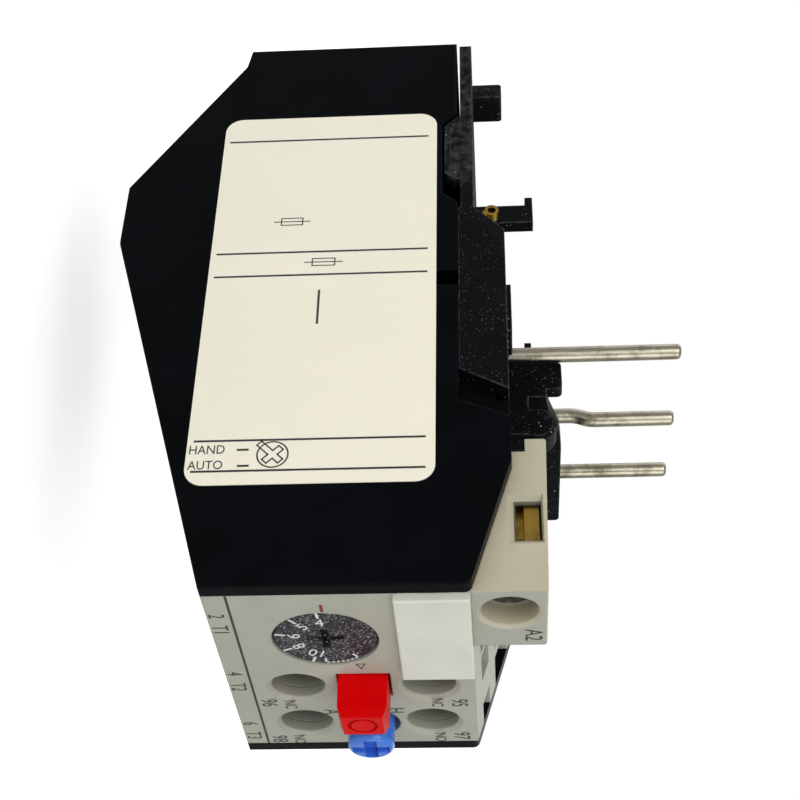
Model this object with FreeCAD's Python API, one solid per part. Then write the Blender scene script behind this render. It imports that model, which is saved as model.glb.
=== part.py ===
import FreeCAD, Part
import os
from math import pi

# Thermal overload relay that hangs under a contactor on its three conductor pins.
# Lengths are in millimetres. X points right seen from the front, Y runs into the relay and Z points up.
# The sub-parts are modelled with depth (Y) and height (Z) counted from the front face's lower edge.
# When they are written they are moved, so that the origin lies on the deck that meets the contactor,
# on the centre plane and in line with the conductor pins.

V = FreeCAD.Vector

# Outline of the relay, seen from the side
WIDTH = 45.0
SIDE_WALL = 2.2
DEPTH = 96.0
DECK_HEIGHT = 37.5
NOSE_RISE = 5.3
FACE_HEIGHT = DECK_HEIGHT - NOSE_RISE
NOSE_DEPTH = 17.6
SLOPE_DEPTH = 55.8
SLOPE_DROP = 16.4
HEEL_LENGTH = 11.3
TAIL_LENGTH = 3.3
TAIL_DROP = 1.1
COVER_SLOT_DEPTH = 46.4
COVER_SLOT_LENGTH = 2.7
COVER_SLOT_HEIGHT = 3.7
RIM_DROP = 6.4
RIM_HEIGHT = DECK_HEIGHT - RIM_DROP
HALF = WIDTH / 2
INSIDE = HALF - SIDE_WALL

# Wall thicknesses and clearances
SKIN = 1.6
FACE_WALL = 2.0
BACK_WALL = 1.8
FLOOR_WALL = 2.0
RIB = 1.2
RUNNING = 0.05
SLIDING = 0.3
SEAM = 0.2

# Conductor pins
PIN_PITCH = 14.0
PIN_DEPTH = 40.6
PIN_DIAMETER = 2.15
PIN_STANDS = 23.5
PIN_TIP_HEIGHT = DECK_HEIGHT + PIN_STANDS
PIN_RUN_DROP = 9.5
PIN_RUN_HEIGHT = DECK_HEIGHT - PIN_RUN_DROP
PIN_BEND = 3.0
PIN_JOG = 0.8
PIN_JOG_RISE = 8.5
PIN_JOG_HEIGHT = DECK_HEIGHT + PIN_JOG_RISE
PIN_JOG_LENGTH = 4.0
PIN_WAIST = 0.2
PIN_WAIST_LENGTH = 1.1
PIN_TIP = 0.6

# Top moulding that carries the contactor
CARRIER_FRONT = 28.5
CARRIER_SLANT = 3.5
COVER_SLANT = 2.8
RECESS_BAND = 5.1
CARRIER_SHOULDER = 56.4
SHOULDER_RUN = 4.4
SHELF_DROP = 4.2
SHELF_HEIGHT = DECK_HEIGHT - SHELF_DROP
CARRIER_WALL = 2.0
SEAT_RISE = 0.7
SEAT_INSET = 5.0
SEAT_GAP = 0.8
SEAT_SETBACK = 5.9
LIP_WIDTH = 1.5
LIP_SINK = 0.1
LIP_LEAD = 1.4
COVER_CORNER = 1.0
EAR_SETBACK = 10.6
EAR_START = CARRIER_SHOULDER + EAR_SETBACK
EAR_LENGTH = 12.9
EAR_SLANT = 2.1
EAR_FRONT_SLANT = 1.3
EAR_DROP = 1.9
EAR_GAP = 1.3
EAR_RADIUS = 1.0
PANEL_FRONT = 1.0
PANEL_REAR = 1.8
PANEL_RISE = 0.85
EAR_STEP = 0.4
HOOK_INSET = 4.9
HOOK_OUTER = HALF - HOOK_INSET
HOOK_WIDTH = 2.0
HOOK_SETBACK = 1.5
HOOK_START = CARRIER_SHOULDER + SHOULDER_RUN + HOOK_SETBACK
HOOK_LENGTH = 3.3
HOOK_RISE = 8.4
HOOK_LIP = 1.5
HOOK_LIP_HEIGHT = 1.1
TAB_INSET = 2.5
TAB_OUTER = HALF - TAB_INSET
TAB_WIDTH = 5.0
TAB_SETBACK = 9.7
TAB_START = DEPTH - TAB_SETBACK
TAB_LENGTH = 2.7
TAB_RISE = 4.4

# Guard that stands before the pins
GUARD_OFFSET = 5.6
GUARD_FRONT = PIN_DEPTH - GUARD_OFFSET
GUARD_WALL = 1.9
GUARD_CLEAR = 0.9
GUARD_LEFT = PIN_DIAMETER / 2 + GUARD_CLEAR - PIN_PITCH
GUARD_INSET = 3.7
GUARD_RIGHT = HALF - GUARD_INSET
GUARD_RISE = 7.3
GUARD_TOP = DECK_HEIGHT + GUARD_RISE
GUARD_END_START = 1.3
GUARD_END_LENGTH = 5.9
GUARD_CURVE = ((0, 2.2), (5.7, 1.0), (7.9, 0.4), (10.1, 0.1), (12.5, 0))
GUARD_EDGE = 0.7
LUG_EDGE = 0.5
LUG_RADIUS = 2.7
LUG_OFFSET = 4.3
LUG_DEPTH = GUARD_FRONT - LUG_OFFSET
LUG_RISE = 3.6
LUG_HEIGHT = DECK_HEIGHT + LUG_RISE
LUG_WIDTH = 3.6

# Coil terminal block on the upper slope
COIL_BLOCK_WIDTH = 13.1
COIL_BLOCK_RISE = 3.9
COIL_BLOCK_TOP = DECK_HEIGHT + COIL_BLOCK_RISE
COIL_OVERHANG = 4.4
COIL_BLOCK_DEPTH = NOSE_DEPTH + COIL_OVERHANG
COIL_STEP_RISE = 1.7
COIL_BLOCK_STEP = DECK_HEIGHT + COIL_STEP_RISE
COIL_STEP_LENGTH = 1.9
COIL_TOP_SLOPE = 0.5
COIL_SCREW_INSET = 5.1
COIL_SCREW_X = COIL_SCREW_INSET - INSIDE
COIL_SCREW_RISE = 4.6
COIL_SCREW_HEIGHT = FACE_HEIGHT + COIL_SCREW_RISE
COIL_HEAD_DEPTH = 3.0
COIL_HEAD_DIAMETER = 5.6
COIL_HEAD_HEIGHT = 2.2
WINDOW_BEVEL = 0.95
COIL_WINDOW_DEPTH = 7.6
COIL_WINDOW_LENGTH = 5.2
COIL_WINDOW_RISE = 0.3
COIL_WINDOW_BOTTOM = DECK_HEIGHT + COIL_WINDOW_RISE
COIL_WINDOW_HEIGHT = 3.1
COIL_CHAMBER_LEFT = 1.3
COIL_CHAMBER_RIGHT = 3.6
COIL_CHAMBER_DROP = 0.6
COIL_SHANK = 2.6
COIL_SHANK_RISE = 1.2
COIL_SHANK_LENGTH = 5.4
COIL_WIRE_WALL = 1.4
COIL_WIRE_LENGTH = 2.0
COIL_WIRE_RISE = 1.1
COIL_FOOT_RISE = 1.0
COIL_FOOT_WIDTH = 1.2

# Front face: terminals, buttons, dial and marker plate
SCREW_HOLE = 7.0
TERMINAL_INSET = 6.0
TERMINAL_SPACING = 10.5
TERMINAL_RIGHT = INSIDE - TERMINAL_INSET
TERMINAL_LEFT = TERMINAL_RIGHT - TERMINAL_SPACING
TERMINAL_HIGH_DROP = 6.0
TERMINAL_LOW_DROP = 23.2
TERMINAL_HIGH = FACE_HEIGHT - TERMINAL_HIGH_DROP
TERMINAL_LOW = FACE_HEIGHT - TERMINAL_LOW_DROP
TERMINAL_HEAD_DEPTH = 6.2
TERMINAL_HEAD_DIAMETER = 6.0
TERMINAL_HEAD_HEIGHT = 2.2
TERMINAL_PLATE = 7.2
TERMINAL_PLATE_THICK = 1.2
TERMINAL_WIRE_GAP = 2.8
TERMINAL_SHANK = 3.0
DIAL_DROP = 18.3
DIAL_HEIGHT = FACE_HEIGHT - DIAL_DROP
DIAL_DIAMETER = 13.0
DIAL_THICK = 2.5
DIAL_RECESS = 0.2
DIAL_SLOT_LENGTH = 4.6
DIAL_SLOT_WIDTH = 1.0
DIAL_SLOT_DEPTH = 1.4
SHAFT_DIAMETER = 4.0
CAM_DIAMETER = 8.0
CAM_OFFSET = 1.2
CAM_DEPTH = 16.0
CAM_THICK = 3.0
LEVER_THICK = 1.4
LEVER_RISE = 11.3
LEVER_PIVOT_HEIGHT = DIAL_HEIGHT + LEVER_RISE
LEVER_DROP = 4.7
LEVER_BOTTOM = DIAL_HEIGHT - LEVER_DROP
LEVER_PIN = 1.6
LEVER_BLOCK = 6.0
SHELF_THICK = 0.8
STOP_SPACING = 11.2
STOP_X = TERMINAL_RIGHT - STOP_SPACING
STOP_DROP = 14.4
STOP_HEIGHT = FACE_HEIGHT - STOP_DROP
STOP_WIDTH = 5.8
DIAL_SHIFT = 0.85
DIAL_X = (STOP_X - STOP_WIDTH / 2 - INSIDE) / 2 + DIAL_SHIFT
STOP_TALL = 6.4
STOP_STANDS = 6.0
STOP_BEVEL = 1.6
STOP_TIP_INSET = 0.9
STOP_RING_DIAMETER = 3.9
STOP_RING_GROOVE = 0.45
RESET_X = TERMINAL_RIGHT
RESET_DROP = 14.3
RESET_HEIGHT = FACE_HEIGHT - RESET_DROP
RESET_DIAMETER = 6.3
RESET_STANDS = 4.0
RESET_SLOT = 1.7
RESET_SLOT_LENGTH = 5.0
RESET_SLOT_DEPTH = 1.7
RESET_HOLE = 7.8
RESET_STEM = 5.4
RESET_SPIGOT = 3.0
RESET_SPIGOT_LENGTH = 3.0
RESET_ROD = 5.0
RESET_ROD_FLAT = 4.2
RESET_ROD_END = 17.0
FLANGE_DEPTH = 8.0
FLANGE_THICK = 1.0
FLANGE_RIM = 0.5
STOP_SPRING_SEAT = 14.0
RESET_SPRING_SEAT = 15.0
SEAT_THICK = 1.2
SPRING_WIRE = 0.5
SPRING_TURNS = 4
STOP_SPRING_DIAMETER = 4.6
RESET_SPRING_DIAMETER = 6.2
MARKER_WIDTH = 20.0
MARKER_TALL = 9.2
MARKER_BOTTOM = FACE_HEIGHT - MARKER_TALL
MARKER_THICK = 1.2
MARKER_LEG = 1.2
MARKER_LEG_DEPTH = 1.6
MARKER_LEGS = ((0.3, 2.7), (6.7, 1.3))
MARKER_NOTCH_TOP = 8.7

# Windows in the upper slope
FRONT_WINDOW_DEPTH = 2.8
FRONT_WINDOW_LENGTH = 3.0
WIRE_WINDOW_DEPTH = 8.5
WIRE_WINDOW_LENGTH = 5.7
WIRE_WINDOW_WIDTH = 8.1

# Load terminals in the lower slope
TROUGH_SIDE = 1.3
TROUGH_WALL = 2.5
TROUGH_WIDTH = (2 * INSIDE - 2 * TROUGH_SIDE - 2 * TROUGH_WALL) / 3
TROUGH_PITCH = TROUGH_WIDTH + TROUGH_WALL
TROUGH_CEILING = -2.2
TROUGH_END = 44.0
TROUGH_FLOOR_TOP = -0.4
LOAD_SCREW_DROP = 3.9
LOAD_SCREW_HEIGHT = TROUGH_CEILING - LOAD_SCREW_DROP
LOAD_SETBACK = 11.4
LOAD_HEAD_DEPTH = TROUGH_END - LOAD_SETBACK
LOAD_HEAD_DIAMETER = 6.5
LOAD_HEAD_HEIGHT = 2.6
LOAD_SHANK = 3.4
LOAD_PLATE_WIDTH = 8.0
LOAD_PLATE_THICK = 1.2
LOAD_PLATE_TOP = TROUGH_CEILING - SEAM
LOAD_WIRE_GAP = 1.6
BUSBAR_WIDTH = 6.0
BUSBAR_HEIGHT = 2.0
BUSBAR_SETBACK = 5.0
BUSBAR_RISER = TROUGH_END + BUSBAR_SETBACK

# Bimetals, heaters and sliders
BIMETAL_THICK = 1.0
BIMETAL_WIDTH = 8.0
BIMETAL_DROP = 16.0
BIMETAL_BOTTOM = PIN_RUN_HEIGHT - BIMETAL_DROP
BIMETAL_TIP = 49.4
BIMETAL_BLOCK_DEPTH = 8.2
BIMETAL_BLOCK_FRONT = DEPTH - BACK_WALL - BIMETAL_BLOCK_DEPTH
BIMETAL_BLOCK_HEIGHT = 16.0
SLEEVE_START = 58.0
SLEEVE_WALL = 1.0
PHASE_WALL_LEAD = 2.0
PHASE_WALL_RISE = 12.0
WINDING_END_GAP = 4.0
WINDING_PITCH = 2.1
WINDING_TURNS = int((BIMETAL_BLOCK_FRONT - WINDING_END_GAP - SLEEVE_START) / WINDING_PITCH)
WINDING_WIRE = 1.1
SLIDER_THICK = 2.0
SLIDER_RISE = 0.6
SLIDER_RAIL_BOTTOM = BIMETAL_BOTTOM + BIMETAL_WIDTH + SLIDER_RISE
SLIDER_RAIL_HEIGHT = 4.0
SLIDER_END = 3.0
SLIDER_HALF = PIN_PITCH + SLIDER_END
FINGER_WIDTH = 1.5
FINGER_RISE = 2.0
FINGER_BOTTOM = BIMETAL_BOTTOM + FINGER_RISE

# Rocker and contacts
ROCKER_INSET = 5.3
ROCKER_X = TERMINAL_RIGHT - ROCKER_INSET
ROCKER_DEPTH = 24.0
ROCKER_PIN = 2.0
ROCKER_HUB = 4.4
CONTACT_RISE = 2.5
CONTACT_HEIGHT = TERMINAL_LOW + CONTACT_RISE
ROCKER_SINK = 0.5
ROCKER_BOTTOM = CONTACT_HEIGHT + ROCKER_SINK
ROCKER_RISE = 3.4
ROCKER_TOP = SLIDER_RAIL_BOTTOM + ROCKER_RISE
ROCKER_ARM = 1.5
LEAF_DEPTH = 20.0
LEAF_THICK = 0.5
LEAF_WIDTH = 3.0
LEAF_DROP = 1.2
LEAF_TOP = TERMINAL_HIGH - LEAF_DROP
LEAF_EYE = 1.3
LEAF_END = 1.5
LEAF_BOTTOM = CONTACT_HEIGHT - LEAF_END
CONTACT_DIAMETER = 3.0
CONTACT_THICK = 0.9
CONTACT_GAP = 1.0
STRIP = 0.8

# Coil lead
LEAD_INSET = 0.9
LEAD_LEFT = LEAD_INSET - INSIDE
LEAD_WIDTH = 1.4
LEAD_THICK = 0.6
LEAD_RISE = 0.5
LEAD_HEIGHT = COIL_WINDOW_BOTTOM + LEAD_RISE
LEAD_SETBACK = 1.4
LEAD_DROP_DEPTH = NOSE_DEPTH + LEAD_SETBACK
LEAD_RUN_DROP = 3.0
LEAD_RUN_HEIGHT = DECK_HEIGHT - LEAD_RUN_DROP
LOOP_SETBACK = 6.7
LOOP_DEPTH = CARRIER_SHOULDER + LOOP_SETBACK
LOOP_RISE = 2.5
LOOP_HEIGHT = SHELF_HEIGHT + LOOP_RISE
LOOP_RADIUS = 1.0

PHASES = (-1, 0, 1)
TERMINALS = {
    95: (TERMINAL_LEFT, TERMINAL_HIGH),
    96: (TERMINAL_LEFT, TERMINAL_LOW),
    97: (TERMINAL_RIGHT, TERMINAL_HIGH),
    98: (TERMINAL_RIGHT, TERMINAL_LOW),
}
BACK = DEPTH - BACK_WALL
FRONT_REAR = NOSE_DEPTH


def prism(points, left, right):
    """Solid with a (depth, height) outline, from X left to X right."""
    corners = [V(left, depth, height) for depth, height in points]
    wire = Part.makePolygon(corners + corners[:1])
    return Part.Face(wire).extrude(V(right - left, 0, 0))


def block(left, right, front, rear, bottom, top):
    return Part.makeBox(right - left, rear - front, top - bottom, V(left, front, bottom))


def rod_y(x, height, front, rear, diameter):
    return Part.makeCylinder(diameter / 2, rear - front, V(x, front, height), V(0, 1, 0))


def rod_x(depth, height, left, right, diameter):
    return Part.makeCylinder(diameter / 2, right - left, V(left, depth, height), V(1, 0, 0))


def rod_z(x, depth, bottom, top, diameter):
    return Part.makeCylinder(diameter / 2, top - bottom, V(x, depth, bottom), V(0, 0, 1))


def centred(x, height, width, tall, front, rear):
    """Box about a line along Y."""
    return block(x - width / 2, x + width / 2, front, rear, height - tall / 2, height + tall / 2)


def joined(first, *others):
    return first.fuse(list(others)).removeSplitter() if others else first


def cut(shape, *tools):
    return shape.cut(list(tools))


def rounded(shape, radius, wanted):
    """Fillets the edges for which wanted(edge) holds."""
    edges = [edge for edge in shape.Edges if wanted(edge)]
    return shape.makeFillet(radius, edges) if edges else shape


def along(edge, axis):
    start, end = edge.Vertexes[0].Point, edge.Vertexes[-1].Point
    length = (end - start).Length
    return length > 1e-6 and abs(abs((end - start).dot(axis)) - length) < 1e-6


def at(edge, depth=None, height=None, x=None):
    """True where the middle of the edge's box has the given place."""
    middle = edge.BoundBox.Center
    near = lambda value, wanted: wanted is None or abs(value - wanted) < 0.01
    return near(middle.x, x) and near(middle.y, depth) and near(middle.z, height)


def write(name, shape):
    placed = shape.copy()
    placed.translate(V(0, -PIN_DEPTH, -DECK_HEIGHT))
    placed.exportStep(f"parts/{name}.step")
    box = placed.BoundBox
    print(name, len(placed.Solids), round(placed.Volume, 1), placed.isValid(), box)


def slope_height(depth):
    """Height of the lower slope's outer surface."""
    return -SLOPE_DROP * depth / SLOPE_DEPTH


def roof_height(depth):
    """Height of the upper slope's outer surface."""
    return FACE_HEIGHT + (DECK_HEIGHT - FACE_HEIGHT) * depth / NOSE_DEPTH


def slant_depth(height):
    """Depth of the carrier's slanted front edge."""
    return CARRIER_FRONT + CARRIER_SLANT * (DECK_HEIGHT - height) / (DECK_HEIGHT - RIM_HEIGHT)


def under_outline():
    """Lower edge of the relay, from the front face to the back."""
    heel_end = SLOPE_DEPTH + HEEL_LENGTH
    return [(0, 0), (SLOPE_DEPTH, -SLOPE_DROP), (heel_end, -SLOPE_DROP),
            (DEPTH - TAIL_LENGTH, -TAIL_DROP), (DEPTH, -TAIL_DROP / 2)]


def side_plate(left, right):
    """Side wall: sloped nose, slanted recess edge and a notch for the carrier's ear."""
    edge = slant_depth(RIM_HEIGHT) - RECESS_BAND
    notch_front = EAR_START - EAR_GAP
    notch_rear = EAR_START + EAR_LENGTH + SEAM
    notch_height = RIM_HEIGHT - EAR_DROP - SLIDING
    top = [(DEPTH, RIM_HEIGHT), (notch_rear, RIM_HEIGHT), (notch_rear - EAR_SLANT, notch_height),
           (notch_front - EAR_DROP, notch_height), (notch_front - 2 * EAR_DROP, RIM_HEIGHT),
           (edge, RIM_HEIGHT), (edge - COVER_SLANT, DECK_HEIGHT), (NOSE_DEPTH, DECK_HEIGHT), (0, FACE_HEIGHT)]
    plate = prism(under_outline() + top, left, right)
    notch = lambda e: along(e, V(1, 0, 0)) and at(e, notch_rear - EAR_SLANT, notch_height)
    nose = lambda e: along(e, V(1, 0, 0)) and at(e, 0, FACE_HEIGHT)
    return rounded(rounded(plate, EAR_RADIUS, notch), COVER_CORNER, nose)


def side_cover():
    """Plate that closes the left side and carries the rating label."""
    plate = side_plate(-HALF, -INSIDE)
    slot = block(-HALF, -INSIDE, COVER_SLOT_DEPTH, COVER_SLOT_DEPTH + COVER_SLOT_LENGTH,
                 RIM_HEIGHT - COVER_SLOT_HEIGHT, RIM_HEIGHT)
    rim = lambda e: e.BoundBox.XMax < -HALF + 0.01 and e.Length > 12
    return cut(rounded(plate, 0.3, rim), slot)


def housing_section():
    """Floor, heel and back wall, drawn as one closed band."""
    inner = [(BACK, RIM_HEIGHT), (BACK, FLOOR_WALL - TAIL_DROP),
             (DEPTH - TAIL_LENGTH, FLOOR_WALL - TAIL_DROP),
             (SLOPE_DEPTH + HEEL_LENGTH, FLOOR_WALL - SLOPE_DROP), (SLOPE_DEPTH, FLOOR_WALL - SLOPE_DROP)]
    step = TROUGH_END + FLOOR_WALL
    inner += [(step, slope_height(step) + FLOOR_WALL), (step, TROUGH_FLOOR_TOP)]
    lip = SLOPE_DEPTH * -TROUGH_CEILING / SLOPE_DROP
    front = [(FRONT_REAR, TROUGH_FLOOR_TOP), (FRONT_REAR, TROUGH_CEILING), (lip, TROUGH_CEILING)]
    return under_outline()[1:] + [(DEPTH, RIM_HEIGHT)] + inner + front


def housing():
    """Black base: right wall, floor with three load troughs, back, saddle and phase walls."""
    floor = prism(housing_section(), -INSIDE, INSIDE)
    wall = side_plate(INSIDE, HALF)
    saddle_rear = CARRIER_FRONT - SLIDING
    roof = block(-INSIDE, INSIDE, FRONT_REAR, saddle_rear, DECK_HEIGHT - BACK_WALL, DECK_HEIGHT)
    roof_rear = slant_depth(DECK_HEIGHT - BACK_WALL) - SLIDING
    rim_rear = slant_depth(RIM_HEIGHT) - SLIDING
    cheek = prism([(FRONT_REAR + 4, RIM_HEIGHT - 5), (FRONT_REAR + 4, DECK_HEIGHT - BACK_WALL),
                   (roof_rear, DECK_HEIGHT - BACK_WALL), (rim_rear, RIM_HEIGHT), (rim_rear, RIM_HEIGHT - 5)],
                  -INSIDE, RIB - INSIDE)
    body = joined(floor, wall, roof, cheek)
    for side in (-1, 1):
        middle = side * PIN_PITCH / 2
        bottom = FLOOR_WALL - SLOPE_DROP - 1
        phase_wall = block(middle - RIB / 2, middle + RIB / 2, SLEEVE_START - PHASE_WALL_LEAD,
                           BIMETAL_BLOCK_FRONT, bottom, BIMETAL_BOTTOM + PHASE_WALL_RISE)
        body = joined(body, cut(phase_wall, below_floor()))
    for phase in PHASES:
        middle = phase * TROUGH_PITCH
        left, right = middle - TROUGH_WIDTH / 2, middle + TROUGH_WIDTH / 2
        trough = block(left, right, 0, TROUGH_END, -SLOPE_DROP - 5, TROUGH_CEILING)
        slot_half = BUSBAR_WIDTH / 2 + SEAM
        slot_bottom = LOAD_PLATE_TOP - LOAD_PLATE_THICK - SEAM
        slot = block(middle - slot_half, middle + slot_half, TROUGH_END - 1, TROUGH_END + FLOOR_WALL + 1,
                     slot_bottom, TROUGH_CEILING)
        body = cut(body, trough, slot)
    gap = SEAM
    lead = block(LEAD_LEFT - gap, LEAD_LEFT + LEAD_WIDTH + gap, LEAD_DROP_DEPTH - gap,
                 LEAD_DROP_DEPTH + LEAD_THICK + gap, LEAD_RUN_HEIGHT - gap, DECK_HEIGHT + 1)
    run = block(LEAD_LEFT - gap, LEAD_LEFT + LEAD_WIDTH + gap, LEAD_DROP_DEPTH, CARRIER_FRONT + CARRIER_SLANT,
                LEAD_RUN_HEIGHT - gap, LEAD_RUN_HEIGHT + LEAD_THICK + gap)
    return cut(body, lead, run)


def below_floor():
    """Everything under the floor's inner surface, to trim inner ribs."""
    heel_end = SLOPE_DEPTH + HEEL_LENGTH
    rise = FLOOR_WALL - SKIN / 4
    points = [(0, -40), (0, rise), (SLOPE_DEPTH, rise - SLOPE_DROP), (heel_end, rise - SLOPE_DROP),
              (DEPTH - TAIL_LENGTH, rise - TAIL_DROP), (DEPTH, rise), (DEPTH, -40)]
    return prism(points, -HALF, HALF)


def carrier():
    """Top moulding: deck with skirts, contactor seat, shoulder, rear shelf, ears, tabs and hooks."""
    shoulder_end = CARRIER_SHOULDER + SHOULDER_RUN
    shelf_end = DEPTH - SKIN / 2
    shelf_bottom = SHELF_HEIGHT - BACK_WALL
    outer = [(CARRIER_FRONT + CARRIER_SLANT, RIM_HEIGHT), (CARRIER_FRONT, DECK_HEIGHT),
             (CARRIER_SHOULDER, DECK_HEIGHT), (shoulder_end, SHELF_HEIGHT), (shelf_end, SHELF_HEIGHT),
             (shelf_end, shelf_bottom), (shoulder_end, shelf_bottom), (shoulder_end, RIM_HEIGHT)]
    body = prism(outer, -HALF, HALF)
    inner = [(CARRIER_FRONT + CARRIER_SLANT + CARRIER_WALL, RIM_HEIGHT - 1),
             (CARRIER_FRONT + CARRIER_WALL + 0.5, DECK_HEIGHT - CARRIER_WALL),
             (CARRIER_SHOULDER - CARRIER_WALL / 2, DECK_HEIGHT - CARRIER_WALL),
             (shoulder_end - CARRIER_WALL / 2, RIM_HEIGHT - 1)]
    body = cut(body, prism(inner, CARRIER_WALL - HALF, HALF - CARRIER_WALL))
    seat = block(SEAT_INSET - HALF, HALF - SEAT_INSET, PIN_DEPTH + PIN_DIAMETER / 2 + SEAT_GAP,
                 CARRIER_SHOULDER - SEAT_SETBACK, DECK_HEIGHT, DECK_HEIGHT + SEAT_RISE)
    lip = block(SEAT_INSET - HALF, SEAT_INSET - HALF + LIP_WIDTH, PIN_DEPTH - LIP_LEAD, CARRIER_SHOULDER - SEAT_SETBACK,
                DECK_HEIGHT, DECK_HEIGHT + SEAT_RISE - LIP_SINK)
    body = joined(body, seat, lip)
    for side in (-1, 1):
        body = joined(body, ear(side), hook(side), tab(side))
    for phase in PHASES:
        body = cut(body, rod_z(phase * PIN_PITCH, PIN_DEPTH, RIM_HEIGHT, DECK_HEIGHT + 1, PIN_DIAMETER + 2 * RUNNING))
    lead = block(LEAD_LEFT - SEAM, LEAD_LEFT + LEAD_WIDTH + SEAM, CARRIER_SHOULDER - CARRIER_WALL,
                 shoulder_end + 4, SHELF_HEIGHT, LOOP_HEIGHT + 2 * LOOP_RADIUS)
    front_slot = block(LEAD_LEFT - SEAM, LEAD_LEFT + LEAD_WIDTH + SEAM, CARRIER_FRONT, CARRIER_FRONT + 6,
                       LEAD_RUN_HEIGHT - SEAM, LEAD_RUN_HEIGHT + LEAD_THICK + SEAM)
    return cut(body, lead, front_slot)


def ear(side):
    """Rounded ear that laps over the side wall, with a raised panel."""
    bottom, end = RIM_HEIGHT - EAR_DROP, EAR_START + EAR_LENGTH
    outline = [(EAR_START, SHELF_HEIGHT), (EAR_START, bottom + EAR_FRONT_SLANT), (EAR_START + EAR_FRONT_SLANT, bottom),
               (end - EAR_SLANT, bottom), (end, RIM_HEIGHT), (end, SHELF_HEIGHT)]
    plate = prism(outline, INSIDE, HALF - EAR_STEP)
    panel = block(INSIDE, HALF, EAR_START + PANEL_FRONT, end - PANEL_REAR, bottom + PANEL_RISE, SHELF_HEIGHT)
    low = lambda e: along(e, V(1, 0, 0)) and e.BoundBox.ZMax < RIM_HEIGHT
    shape = joined(plate, rounded(panel, EAR_RADIUS, low))
    return shape if side > 0 else shape.mirror(V(0, 0, 0), V(1, 0, 0))


def hook(side):
    """Snap hook at the shoulder, with its lip towards the back."""
    top = SHELF_HEIGHT + HOOK_RISE
    rear = HOOK_START + HOOK_LENGTH
    points = [(HOOK_START, SHELF_HEIGHT - SKIN), (HOOK_START, top), (rear + HOOK_LIP, top),
              (rear + HOOK_LIP, top - HOOK_LIP_HEIGHT), (rear, top - HOOK_LIP_HEIGHT), (rear, SHELF_HEIGHT - SKIN)]
    shape = prism(points, HOOK_OUTER - HOOK_WIDTH, HOOK_OUTER)
    return shape if side > 0 else shape.mirror(V(0, 0, 0), V(1, 0, 0))


def tab(side):
    """Stop at the back of the shelf."""
    shape = block(TAB_OUTER - TAB_WIDTH, TAB_OUTER, TAB_START, TAB_START + TAB_LENGTH,
                  SHELF_HEIGHT - SKIN, SHELF_HEIGHT + TAB_RISE)
    shape = rounded(shape, 0.5, lambda e: along(e, V(1, 0, 0)) and e.BoundBox.ZMin > SHELF_HEIGHT + 1)
    return shape if side > 0 else shape.mirror(V(0, 0, 0), V(1, 0, 0))


def pin_guard():
    """Upright wall before the pins, with a lowered stretch, an end plate and a round lug."""
    wall_rear = GUARD_FRONT + GUARD_WALL
    curve = [V(GUARD_LEFT + along_x, GUARD_FRONT, GUARD_TOP - drop) for along_x, drop in GUARD_CURVE]
    crest = Part.BSplineCurve()
    crest.interpolate(curve)
    rest = [curve[-1], V(GUARD_RIGHT, GUARD_FRONT, GUARD_TOP), V(GUARD_RIGHT, GUARD_FRONT, DECK_HEIGHT),
            V(GUARD_LEFT, GUARD_FRONT, DECK_HEIGHT), curve[0]]
    edges = [crest.toShape()] + [Part.makeLine(start, end) for start, end in zip(rest, rest[1:])]
    wall = Part.Face(Part.Wire(edges)).extrude(V(0, GUARD_WALL, 0))
    wall = rounded(wall, GUARD_EDGE, lambda e: along(e, V(0, 1, 0)) and at(e, x=GUARD_RIGHT, height=GUARD_TOP))
    end = block(GUARD_LEFT, GUARD_LEFT + GUARD_WALL, GUARD_FRONT + GUARD_END_START, GUARD_FRONT + GUARD_END_LENGTH,
                DECK_HEIGHT, GUARD_TOP)
    end = rounded(end, GUARD_EDGE, lambda e: along(e, V(1, 0, 0)) and e.BoundBox.ZMin > GUARD_TOP - SEAM)
    lug_right = GUARD_LEFT + LUG_WIDTH
    lug = rod_x(LUG_DEPTH, LUG_HEIGHT, GUARD_LEFT, lug_right, 2 * LUG_RADIUS)
    lug = lug.makeChamfer(LUG_EDGE, [e for e in lug.Edges if at(e, x=GUARD_LEFT)])
    foot = block(GUARD_LEFT, lug_right, LUG_DEPTH - LUG_RADIUS * 0.7, wall_rear, DECK_HEIGHT, LUG_HEIGHT - 1)
    return joined(wall, end, lug, foot)


def front_section(face, skin):
    """Outline of the front cover, set in by the face wall and the skin."""
    lip = SLOPE_DEPTH * -TROUGH_CEILING / SLOPE_DROP
    return [(face, skin + slope_height(face)), (face, roof_height(face) - skin),
            (FRONT_REAR, DECK_HEIGHT - skin), (FRONT_REAR, TROUGH_CEILING + skin),
            (lip, TROUGH_CEILING + skin)]


def front_cover():
    """Grey face moulding: hollow shell with the controls' openings and the window lattice."""
    side_skin = SKIN - SEAM
    body = prism(front_section(0, 0), -INSIDE, INSIDE)
    body = cut(body, prism(front_section(FACE_WALL, SKIN), side_skin - INSIDE, INSIDE - side_skin))
    return cut(body, *front_holes(), *windows(), *lower_windows())


def contact_block():
    """Grey inner moulding behind the face: terminal chambers, guides and spring seats."""
    ribs = front_ribs()
    beyond = block(INSIDE - SKIN, HALF, 0, NOSE_DEPTH, -SLOPE_DROP, DECK_HEIGHT)
    return cut(joined(ribs[0], *ribs[1:]), beyond, *front_holes(), *windows(), *lower_windows())


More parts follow.
